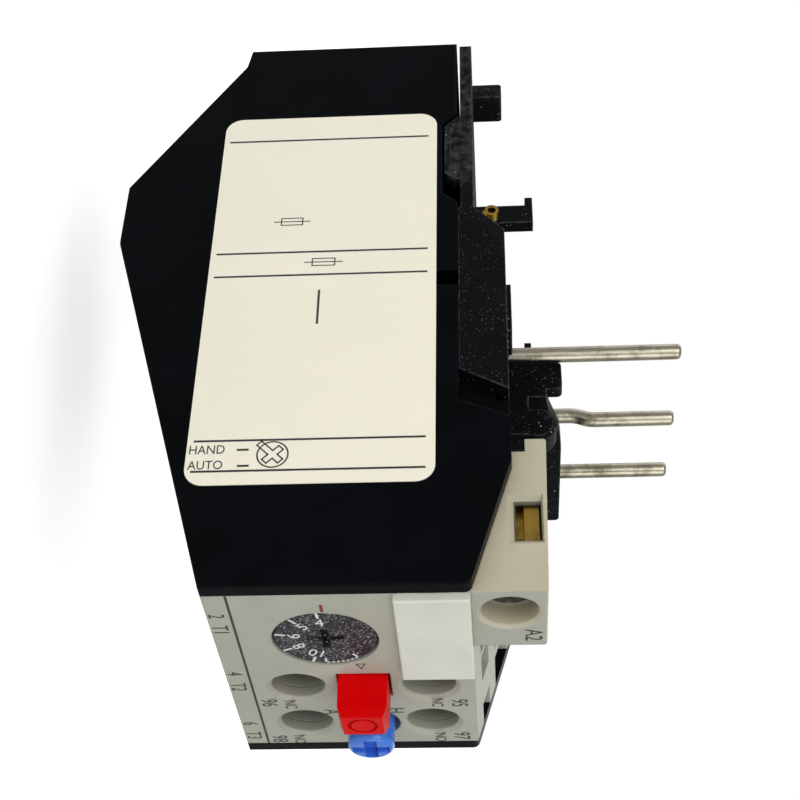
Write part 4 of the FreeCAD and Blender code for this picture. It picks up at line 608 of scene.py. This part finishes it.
class RelayColours(bpy.types.PropertyGroup):
    """Colours of the mouldings, prints and controls."""
    black: colour_property("Black plastic", "Colour of the smooth side cover and the base", (0.0019, 0.0023, 0.0034))
    grained: colour_property("Grained plastic", "Colour of the top moulding and the pin guard", (0.0032, 0.0033, 0.004))
    grey: colour_property("Grey plastic", "Colour of the face", (0.40, 0.405, 0.335))
    # Colour of the coil block's sides, warmer than its grey front: painted light.
    warm_lit_coil_block: colour_property("Coil block", "Colour of the coil terminal block", (0.55, 0.50, 0.36))
    marker: colour_property("Marker plate", "Colour of the blank marker plate", (0.68, 0.69, 0.60))
    label: colour_property("Label", "Colour of the rating label's film", (1.0, 0.96, 0.79))
    ink: colour_property("Ink", "Colour of the printed marks", (0.02, 0.02, 0.02))
    dial: colour_property("Dial", "Colour of the setting dial", (0.02, 0.021, 0.024))
    stop: colour_property("Stop button", "Colour of the stop button", (0.72, 0.0, 0.001))
    reset: colour_property("Reset knob", "Colour of the reset knob", (0.045, 0.19, 0.72))


class RelaySizes(bpy.types.PropertyGroup):
    """Sizes of the prints."""
    label_corner: bpy.props.FloatProperty(name="Label corner", description="Corner radius of the rating label",
                                          default=2.5 * MM, unit="LENGTH")
    label_thick: bpy.props.FloatProperty(name="Label thickness", description="Thickness of the rating label's film",
                                         default=0.12 * MM, unit="LENGTH")
    number_size: bpy.props.FloatProperty(name="Number size", description="Letter size of the terminal numbers",
                                         default=3.1 * MM, unit="LENGTH")
    floor_drop: bpy.props.FloatProperty(name="Floor drop", description="Distance from the lowest point to the floor",
                                        default=12 * MM, unit="LENGTH")


# ---------------------------------------------------------------- pieces

class RELAY_OT_black_mouldings(bpy.types.Operator):
    """Finishes the base, the side cover, the top moulding and the pin guard"""
    bl_idname = "relay.black_mouldings"
    bl_label = "Finish black mouldings"

    def execute(self, context):
        colours = context.scene.relay_colours
        dust = ((3200.0, 0.30, 0.5, (0.022, 0.023, 0.026)), (2600.0, 0.25, 0.35, (0.08, 0.083, 0.09)),
                (1900.0, 0.18, 0.25, (0.36, 0.37, 0.37)), (1000.0, 0.11, 0.16, (0.6, 0.6, 0.59)))
        # Lighter edges of the black mouldings: painted edge highlight, partly edge wear.
        smooth = moulded_plastic("Smooth black plastic", tuple(colours.black), 0.34, grain=5000.0, relief=0.000003,
                                 mottle=0.25, gloss=0.035, painted_highlight_wear_colour=(0.022, 0.023, 0.026),
                                 specks=((900.0, 0.1, 0.08, (0.05, 0.05, 0.05)),))
        base = moulded_plastic("Base black plastic", tuple(colours.black), 0.45, grain=3800.0, relief=0.00001,
                               mottle=0.25, gloss=0.05, painted_highlight_wear_colour=(0.03, 0.03, 0.032),
                               specks=((1100.0, 0.12, 0.1, (0.05, 0.05, 0.05)),))
        grained = moulded_plastic("Grained black plastic", tuple(colours.grained), 0.55, grain=2600.0,
                                  relief=0.00004, mottle=0.4, gloss=0.06, specks=dust, left_colour=(0.05, 0.052, 0.056),
                                  painted_highlight_wear_colour=(0.22, 0.22, 0.22), painted_highlight_wear_amount=0.8)
        dress("side_cover", smooth)
        dress("housing", base)
        dress("carrier", grained)
        dress("pin_guard", grained)
        return {"FINISHED"}


class RELAY_OT_grey_mouldings(bpy.types.Operator):
    """Finishes the front cover, the coil terminal block and the marker plate"""
    bl_idname = "relay.grey_mouldings"
    bl_label = "Finish grey mouldings"

    def execute(self, context):
        colours = context.scene.relay_colours
        grey = tuple(colours.grey)
        # Boxes round the auxiliary bores, which get painted shade.
        bores = tuple((f"auxiliary_screw_{number}", AUXILIARY_SHADE_HALF) for number in AUXILIARY_NUMBERS)
        # The face's edges take a lighter grey: painted edge highlight, partly edge wear.
        face = moulded_plastic("Grey face plastic", grey, 0.5, grain=3200.0, relief=0.000012, mottle=0.05, gloss=0.35,
                               painted_highlight_wear_colour=tuple(min(1, c * 1.25) for c in grey), shaded_bores=bores,
                               specks=((1400.0, 0.1, 0.06, (0.2, 0.19, 0.16)),))
        # Coil block: its sides are warmer than its grey front, which is painted light.
        block = moulded_plastic("Coil block plastic", tuple(colours.warm_lit_coil_block), 0.5, grain=3200.0,
                                relief=0.000012, mottle=0.05, gloss=0.35, painted_highlight_wear_colour=(0.74, 0.72, 0.60),
                                front_lighting_colour=grey, shaded_bores=(("coil_screw", COIL_SHADE_HALF),),
                                specks=((1400.0, 0.1, 0.06, (0.3, 0.27, 0.2)),))
        plate = moulded_plastic("Marker plate plastic", tuple(colours.marker), 0.45, grain=3600.0,
                                relief=0.000008, mottle=0.04, gloss=0.35, painted_highlight_wear_colour=(0.8, 0.8, 0.74))
        dress("front_cover", face)
        dress("contact_block", face)
        dress("coil_terminal_block", block)
        dress("marker_plate", plate)
        return {"FINISHED"}


class RELAY_OT_rating_label(bpy.types.Operator):
    """Builds the rating label with generic ruled fields"""
    bl_idname = "relay.rating_label"
    bl_label = "Build rating label"

    def execute(self, context):
        colours, sizes = context.scene.relay_colours, context.scene.relay_sizes
        film = paper_label("Label film", tuple(colours.label))
        ink = print_ink("Label ink", tuple(colours.ink))
        width, length = LABEL_TOP - LABEL_BOTTOM, LABEL_REAR - LABEL_FRONT
        centre = on_side(LABEL_MIDDLE_DEPTH / MM, LABEL_MIDDLE_HEIGHT / MM, sizes.label_thick / 2)
        bm = bmesh.new()
        bmesh.ops.create_cube(bm, size=1.0)
        bmesh.ops.scale(bm, vec=(width, length, sizes.label_thick), verts=bm.verts)
        upright = [e for e in bm.edges if abs(e.verts[0].co.z - e.verts[1].co.z) > sizes.label_thick / 2]
        bmesh.ops.bevel(bm, geom=upright, offset=sizes.label_corner, segments=LABEL_CORNER_SEGMENTS,
                        profile=0.5, affect="EDGES", material=-1)
        new_piece("rating_label", finish_mesh(bm, "rating_label", side_turn(centre)), FIXED, film)
        self.print_fields(width, centre - Vector((sizes.label_thick / 2 + PRINT_LIFT, 0, 0)), ink)
        return {"FINISHED"}

    def print_fields(self, width, centre, ink):
        """Rules across the label, a short divider, two fuse signs and the two modes of the reset knob."""
        bm = bmesh.new()
        left, right = LABEL_LEFT_MARGIN - width / 2, width / 2 - LABEL_RIGHT_MARGIN
        for depth in LABEL_RULES:
            y = depth * MM - LABEL_MIDDLE_DEPTH
            add_bar(bm, left, right, y - RULE_HALF, y + RULE_HALF)
        x, start, end = (value * MM for value in LABEL_DIVIDER)
        add_bar(bm, x - LABEL_MIDDLE_HEIGHT - RULE_HALF, x - LABEL_MIDDLE_HEIGHT + RULE_HALF,
                start - LABEL_MIDDLE_DEPTH, end - LABEL_MIDDLE_DEPTH)
        for height, depth in LABEL_DASHES:
            x, y, _ = self.on_label(height, depth)
            add_bar(bm, x, x + LABEL_DASH_LENGTH, y - RULE_HALF, y + RULE_HALF)
        symbol = self.on_label(*LABEL_SYMBOL)
        add_ring(bm, symbol, SYMBOL_RADIUS, SYMBOL_LINE)
        self.add_cross(bm, symbol)
        for low, high, depth in LABEL_FUSES:
            self.add_fuse(bm, self.on_label((low + high) / 2, depth), (high - low) / 2 * MM)
        for text, height, depth in LABEL_MODES:
            add_words(bm, text, self.on_label(height, depth), LABEL_MODE_SIZE, stretch=LABEL_MODE_STRETCH)
        new_piece("label_rules", finish_mesh(bm, "label_rules", side_turn(centre)), FIXED, ink)

    def on_label(self, height, depth):
        """Point of the label's design, from millimetres above the face's lower edge and behind the face."""
        return Vector((height * MM - LABEL_MIDDLE_HEIGHT, depth * MM - LABEL_MIDDLE_DEPTH, 0))

    def add_fuse(self, bm, centre, half):
        """Line with a rectangle round its middle."""
        add_stroke(bm, centre - Vector((half, 0, 0)), centre + Vector((half, 0, 0)), FUSE_LINE)
        corners = [centre + Vector((a * half * FUSE_BODY_SHARE, b * FUSE_BODY_HALF, 0))
                   for a, b in ((1, 1), (-1, 1), (-1, -1), (1, -1))]
        add_outline(bm, corners, FUSE_LINE)

    def add_cross(self, bm, symbol):
        """Outlined cross, turned by an eighth, with one arm that runs out of the ring."""
        short, long, half = CROSS_SHORT, CROSS_LONG, CROSS_HALF
        corners = [(half, half), (half, short), (-half, short), (-half, half), (-long, half), (-long, -half),
                   (-half, -half), (-half, -short), (half, -short), (half, -half), (short, -half), (short, half)]
        turn = Matrix.Rotation(-math.pi / 4, 3, "Z")
        add_outline(bm, [turn @ Vector((x, y, 0)) + symbol for x, y in corners], CROSS_LINE)


class RELAY_OT_face_marks(bpy.types.Operator):
    """Prints the terminal numbers, the rule and the small signs on the face"""
    bl_idname = "relay.face_marks"
    bl_label = "Print face marks"

    def execute(self, context):
        colours, sizes = context.scene.relay_colours, context.scene.relay_sizes
        ink = print_ink("Face ink", tuple(colours.ink))
        bm = bmesh.new()
        for text, x, height, share in FACE_WORDS:
            size = sizes.number_size * share
            add_words(bm, text, Vector((x * MM, height * MM, 0)), size, stretch=FACE_WORD_STRETCH)
        low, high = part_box("front_cover")
        add_bar(bm, low.x + FACE_RULE_MARGIN, high.x - FACE_RULE_MARGIN,
                FACE_RULE_HEIGHT - FACE_RULE_HALF, FACE_RULE_HEIGHT + FACE_RULE_HALF)
        add_outline(bm, [Vector((x * MM, height * MM, 0)) for x, height in TRIANGLE_CORNERS], TRIANGLE_LINE)
        new_piece("face_marks", finish_mesh(bm, "face_marks", face_turn(on_face(0, 0, PRINT_LIFT))),
                  FIXED, ink)
        self.pointer()
        self.coil_mark(ink, sizes.number_size)
        return {"FINISHED"}

    def pointer(self):
        """Red line at the dial."""
        red = print_ink("Red pointer ink", (0.20, 0.008, 0.006))
        bm = bmesh.new()
        add_bar(bm, *POINTER_BOX)
        new_piece("dial_pointer", finish_mesh(bm, "dial_pointer", face_turn(on_face(0, 0, PRINT_LIFT))),
                  FIXED, red)

    def coil_mark(self, ink, size):
        """Number of the coil terminal, on its block."""
        text, x, height = COIL_WORD
        bm = bmesh.new()
        add_words(bm, text, Vector((x * MM, height * MM, 0)), size, stretch=COIL_WORD_STRETCH)
        new_piece("coil_mark", finish_mesh(bm, "coil_mark", face_turn(on_face(0, 0, PRINT_LIFT))),
                  FIXED, ink)


class RELAY_OT_dial(bpy.types.Operator):
    """Finishes the dial and prints its scale"""
    bl_idname = "relay.dial"
    bl_label = "Finish dial"

    def execute(self, context):
        colours = context.scene.relay_colours
        plastic = moulded_plastic("Dial plastic", tuple(colours.dial), 0.5, grain=2400.0, relief=0.00003, mottle=0.3,
                                  gloss=0.25, specks=((2300.0, 0.34, 0.95, (0.16, 0.17, 0.18)),
                                                      (3600.0, 0.32, 0.95, (0.32, 0.33, 0.34)),
                                                      (1900.0, 0.22, 0.75, (0.5, 0.52, 0.54))),
                                  painted_highlight_wear_colour=(0.02, 0.02, 0.02))
        dress("setting_dial", plastic)
        dress("dial_cam", plastic)
        white = print_ink("Dial ink", (0.72, 0.74, 0.76))
        bm = bmesh.new()
        outer, inner = DIAL_RADIUS * DIAL_OUTER, DIAL_RADIUS * DIAL_INNER
        for degrees, text in DIAL_MARKS:
            angle = math.pi + math.radians(degrees)
            out = Vector((math.cos(angle), math.sin(angle), 0))
            add_stroke(bm, out * inner, out * outer, DIAL_TICK_LINE)
            add_words(bm, text, out * DIAL_RADIUS * DIAL_NUMBERS, DIAL_NUMBER_SIZE, turn=angle - math.pi / 2)
        bracket = [Vector((math.cos(a), math.sin(a), 0)) * outer
                   for a in (math.pi + math.radians(d) for d in range(*DIAL_BRACKET))]
        for start, end in zip(bracket, bracket[1:]):
            add_stroke(bm, start, end, DIAL_BRACKET_LINE)
        for end in (bracket[0], bracket[-1]):
            add_stroke(bm, end, end * (inner / outer), DIAL_BRACKET_LINE)
        front = Vector((DIAL_CENTRE.x, DIAL_LOW.y - PRINT_LIFT, DIAL_CENTRE.z))
        new_piece("dial_scale", finish_mesh(bm, "dial_scale", face_turn(front)), "dial", white)
        return {"FINISHED"}


class RELAY_OT_controls(bpy.types.Operator):
    """Finishes the stop button, the reset knob and its rod"""
    bl_idname = "relay.controls"
    bl_label = "Finish controls"

    def execute(self, context):
        colours = context.scene.relay_colours
        # Brighter edges of the buttons: painted edge highlight, partly edge wear.
        red = moulded_plastic("Stop button plastic", tuple(colours.stop), 0.36, grain=3600.0, relief=0.000005,
                              mottle=0.06, gloss=0.06, painted_highlight_wear_colour=(0.85, 0.03, 0.02))
        blue = moulded_plastic("Reset knob plastic", tuple(colours.reset), 0.26, grain=3600.0, relief=0.000005,
                               mottle=0.08, gloss=0.4, painted_highlight_wear_colour=(0.15, 0.35, 0.85), coat=0.3)
        dress("stop_button", red)
        dress("reset_knob", blue)
        rod = moulded_plastic("Rod plastic", (0.3, 0.3, 0.26), 0.5)
        dress("reset_rod", rod)
        return {"FINISHED"}


class RELAY_OT_metal_parts(bpy.types.Operator):
    """Finishes pins, screws, clamps, bars and contacts"""
    bl_idname = "relay.metal_parts"
    bl_label = "Finish metal parts"

    def execute(self, context):
        tinned = plated_metal("Tinned wire", (0.40, 0.375, 0.29), 0.22, tarnish=(0.09, 0.08, 0.05), tarnished=0.75)
        zinc = plated_metal("Zinc plated steel", (0.30, 0.30, 0.28), 0.34)
        brass = plated_metal("Brass", (0.40, 0.255, 0.05), 0.34, tarnish=(0.09, 0.05, 0.012), tarnished=0.85)
        # Dark steel for the screws that sit down the bores.
        dull = plated_metal("Dark steel", (0.13, 0.13, 0.12), 0.4)
        wound = plated_metal("Heater wire", (0.33, 0.29, 0.25), 0.45)
        for phase in PHASES:
            dress(f"conductor_pin_{phase}", tinned)
            dress(f"heater_winding_{phase}", wound)
            dress(f"load_terminal_{phase}", brass)
            dress(f"load_clamp_{phase}", zinc)
            dress(f"load_screw_{phase}", zinc)
        for number in AUXILIARY_NUMBERS:
            dress(f"auxiliary_terminal_{number}", brass)
            dress(f"auxiliary_screw_{number}", dull)
        for node in ("coil_clamp", "coil_lead", "nc_contact_spring", "no_contact_spring", "setting_lever"):
            dress(node, brass)
        dress("coil_screw", dull)
        for node in ("setting_lever_pin", "rocker_pin"):
            dress(node, zinc)
        return {"FINISHED"}


class RELAY_OT_flexible_parts(bpy.types.Operator):
    """Builds the springs and the strips, each its own mesh in place of its solid part"""
    bl_idname = "relay.flexible_parts"
    bl_label = "Build flexible parts"

    def execute(self, context):
        wire = plated_metal("Spring wire", (0.45, 0.45, 0.45), 0.3)
        for name, travel in SPRING_TRAVELS:
            self.spring(f"{name}_spring", f"{name}_press", travel, wire)
        metal = plated_metal("Bimetal", (0.45, 0.42, 0.38), 0.4)
        for phase in PHASES:
            self.strip(f"bimetal_strip_{phase}", metal)
        return {"FINISHED"}

    def spring(self, node, joint, travel, material):
        """Own mesh of a coil, copied from its solid part."""
        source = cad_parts[node]
        mesh = source.data.copy()
        mesh.name = node + "_coil"
        mesh.transform(source.matrix_world)
        mesh.materials.clear()
        piece = new_piece(node + "_coil", mesh, FIXED, material)
        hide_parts(node)
        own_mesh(piece)

    def strip(self, node, material):
        """Strip with rows along its length, in place of the solid strip."""
        low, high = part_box(node)
        bm = bmesh.new()
        bmesh.ops.create_cube(bm, size=1.0)
        long_edges = [e for e in bm.edges if abs(e.verts[0].co.y - e.verts[1].co.y) > 0.5]
        bmesh.ops.subdivide_edges(bm, edges=long_edges, cuts=STRIP_CUTS, use_grid_fill=True)
        bmesh.ops.scale(bm, vec=high - low, verts=bm.verts)
        middle = (low + high) / 2
        piece = bpy.data.objects.new(node + "_blade", finish_mesh(bm, node + "_blade", Matrix.Translation(middle)))
        bpy.context.scene.collection.objects.link(piece)
        piece.data.materials.append(material)
        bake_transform(piece)
        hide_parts(node)


class RELAY_OT_insulators(bpy.types.Operator):
    """Finishes the sliders, the rocker and the bimetal block"""
    bl_idname = "relay.insulators"
    bl_label = "Finish insulators"

    def execute(self, context):
        brown = moulded_plastic("Brown insulating plastic", (0.09, 0.045, 0.025), 0.45)
        for node in ("bimetal_block", "trip_slider", "differential_slider", "trip_rocker"):
            dress(node, brown)
        return {"FINISHED"}


class RELAY_OT_stage(bpy.types.Operator):
    """Sets the floor, the soft lamps, the world and the camera"""
    bl_idname = "relay.stage"
    bl_label = "Set stage"

    def execute(self, context):
        scene = context.scene
        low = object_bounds()[0]
        bm = bmesh.new()
        bmesh.ops.create_grid(bm, x_segments=1, y_segments=1, size=FLOOR_HALF)
        bmesh.ops.translate(bm, vec=(0, 0, low.z - scene.relay_sizes.floor_drop), verts=bm.verts)
        mesh = bpy.data.meshes.new("floor")
        bm.to_mesh(mesh)
        bm.free()
        floor = bpy.data.objects.new("floor", mesh)
        scene.collection.objects.link(floor)
        mesh.materials.append(self.floor_material())
        floor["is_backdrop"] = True
        self.lamps(scene)
        self.world(scene)
        self.camera(scene)
        scene.view_settings.view_transform = "Standard"
        return {"FINISHED"}

    def floor_material(self):
        """Pale floor that glows for the camera, more so away from the relay."""
        material, tree, shader, place = start_material("Pale floor")
        shader.inputs["Base Color"].default_value = (0.86, 0.86, 0.86, 1)
        shader.inputs["Roughness"].default_value = 0.9
        glow = tree.nodes.new("ShaderNodeEmission")
        reach = tree.nodes.new("ShaderNodeVectorMath")
        reach.operation = "LENGTH"
        link(tree, place, reach.inputs[0])
        link(tree, spread(tree, reach.outputs["Value"], 0.1, 0.45, 0.6, 0.8), glow.inputs["Strength"])
        total = tree.nodes.new("ShaderNodeAddShader")
        seen = tree.nodes.new("ShaderNodeMixShader")
        path = tree.nodes.new("ShaderNodeLightPath")
        output = next(n for n in tree.nodes if n.type == "OUTPUT_MATERIAL")
        link(tree, shader.outputs["BSDF"], total.inputs[0])
        link(tree, glow.outputs["Emission"], total.inputs[1])
        link(tree, path.outputs["Is Camera Ray"], seen.inputs["Fac"])
        link(tree, shader.outputs["BSDF"], seen.inputs[1])
        link(tree, total.outputs["Shader"], seen.inputs[2])
        link(tree, seen.outputs["Shader"], output.inputs["Surface"])
        return material

    def lamps(self, scene):
        """Square lamps that look at the relay."""
        centre = Vector(LAMP_TARGET)
        for name, place, size, power in LAMPS:
            data = bpy.data.lights.new(name, "AREA")
            data.energy = power
            data.size = size
            lamp = bpy.data.objects.new(name, data)
            lamp.location = place
            lamp.rotation_mode = "QUATERNION"
            lamp.rotation_quaternion = (centre - Vector(place)).to_track_quat("-Z", "Y")
            scene.collection.objects.link(lamp)

    def world(self, scene):
        """White surroundings, brighter to the camera and in reflections than as light."""
        world = bpy.data.worlds.new("Soft studio")
        world.use_nodes = True
        scene.world = world
        tree = world.node_tree
        shade = next(n for n in tree.nodes if n.type == "BACKGROUND")
        shade.inputs["Color"].default_value = (1, 1, 1, 1)
        path = tree.nodes.new("ShaderNodeLightPath")
        mirrored = math_node(tree, "MULTIPLY", path.outputs["Is Glossy Ray"], WORLD_MIRRORED)
        seen = math_node(tree, "MULTIPLY", path.outputs["Is Camera Ray"], WORLD_SEEN)
        strength = math_node(tree, "ADD", math_node(tree, "ADD", seen, mirrored), WORLD_STRENGTH)
        link(tree, strength, shade.inputs["Strength"])

    def camera(self, scene):
        """Camera that sees the face and the left side, turned so that the relay's top points right."""
        data = bpy.data.cameras.new("camera")
        data.lens = CAMERA_LENS
        data.sensor_width = CAMERA_SENSOR
        data.clip_start = CAMERA_CLIP
        camera = bpy.data.objects.new("camera", data)
        right = Vector(CAMERA_RIGHT).normalized()
        up = Vector(CAMERA_UP)
        up = (up - up.dot(right) * right).normalized()
        turn = Matrix((right, up, right.cross(up))).transposed()
        camera.matrix_world = Matrix.Translation(CAMERA_PLACE) @ turn.to_4x4()
        scene.collection.objects.link(camera)
        scene.camera = camera


class RELAY_PT_build(bpy.types.Panel):
    """Lists the steps that dress the relay"""
    bl_idname = "RELAY_PT_build"
    bl_label = "Relay"
    bl_space_type = "VIEW_3D"
    bl_region_type = "UI"
    bl_category = "Relay"

    def draw(self, context):
        for group in (context.scene.relay_colours, context.scene.relay_sizes):
            for key in group.__annotations__:
                self.layout.prop(group, key)
        for step in STEPS:
            self.layout.operator(step.bl_idname)


STEPS = (RELAY_OT_black_mouldings, RELAY_OT_grey_mouldings, RELAY_OT_rating_label, RELAY_OT_face_marks,
         RELAY_OT_dial, RELAY_OT_controls, RELAY_OT_metal_parts, RELAY_OT_flexible_parts, RELAY_OT_insulators,
         RELAY_OT_stage)
CLASSES = (RelayColours, RelaySizes, *STEPS, RELAY_PT_build)


def register():
    for entry in CLASSES:
        bpy.utils.register_class(entry)
    bpy.types.Scene.relay_colours = bpy.props.PointerProperty(type=RelayColours)
    bpy.types.Scene.relay_sizes = bpy.props.PointerProperty(type=RelaySizes)


def unregister():
    del bpy.types.Scene.relay_sizes
    del bpy.types.Scene.relay_colours
    for entry in reversed(CLASSES):
        bpy.utils.unregister_class(entry)


def main():
    """Runs the steps in their order."""
    register()
    for step in STEPS:
        group, name = step.bl_idname.split(".")
        getattr(getattr(bpy.ops, group), name)()


if __name__ == "__main__":
    main()
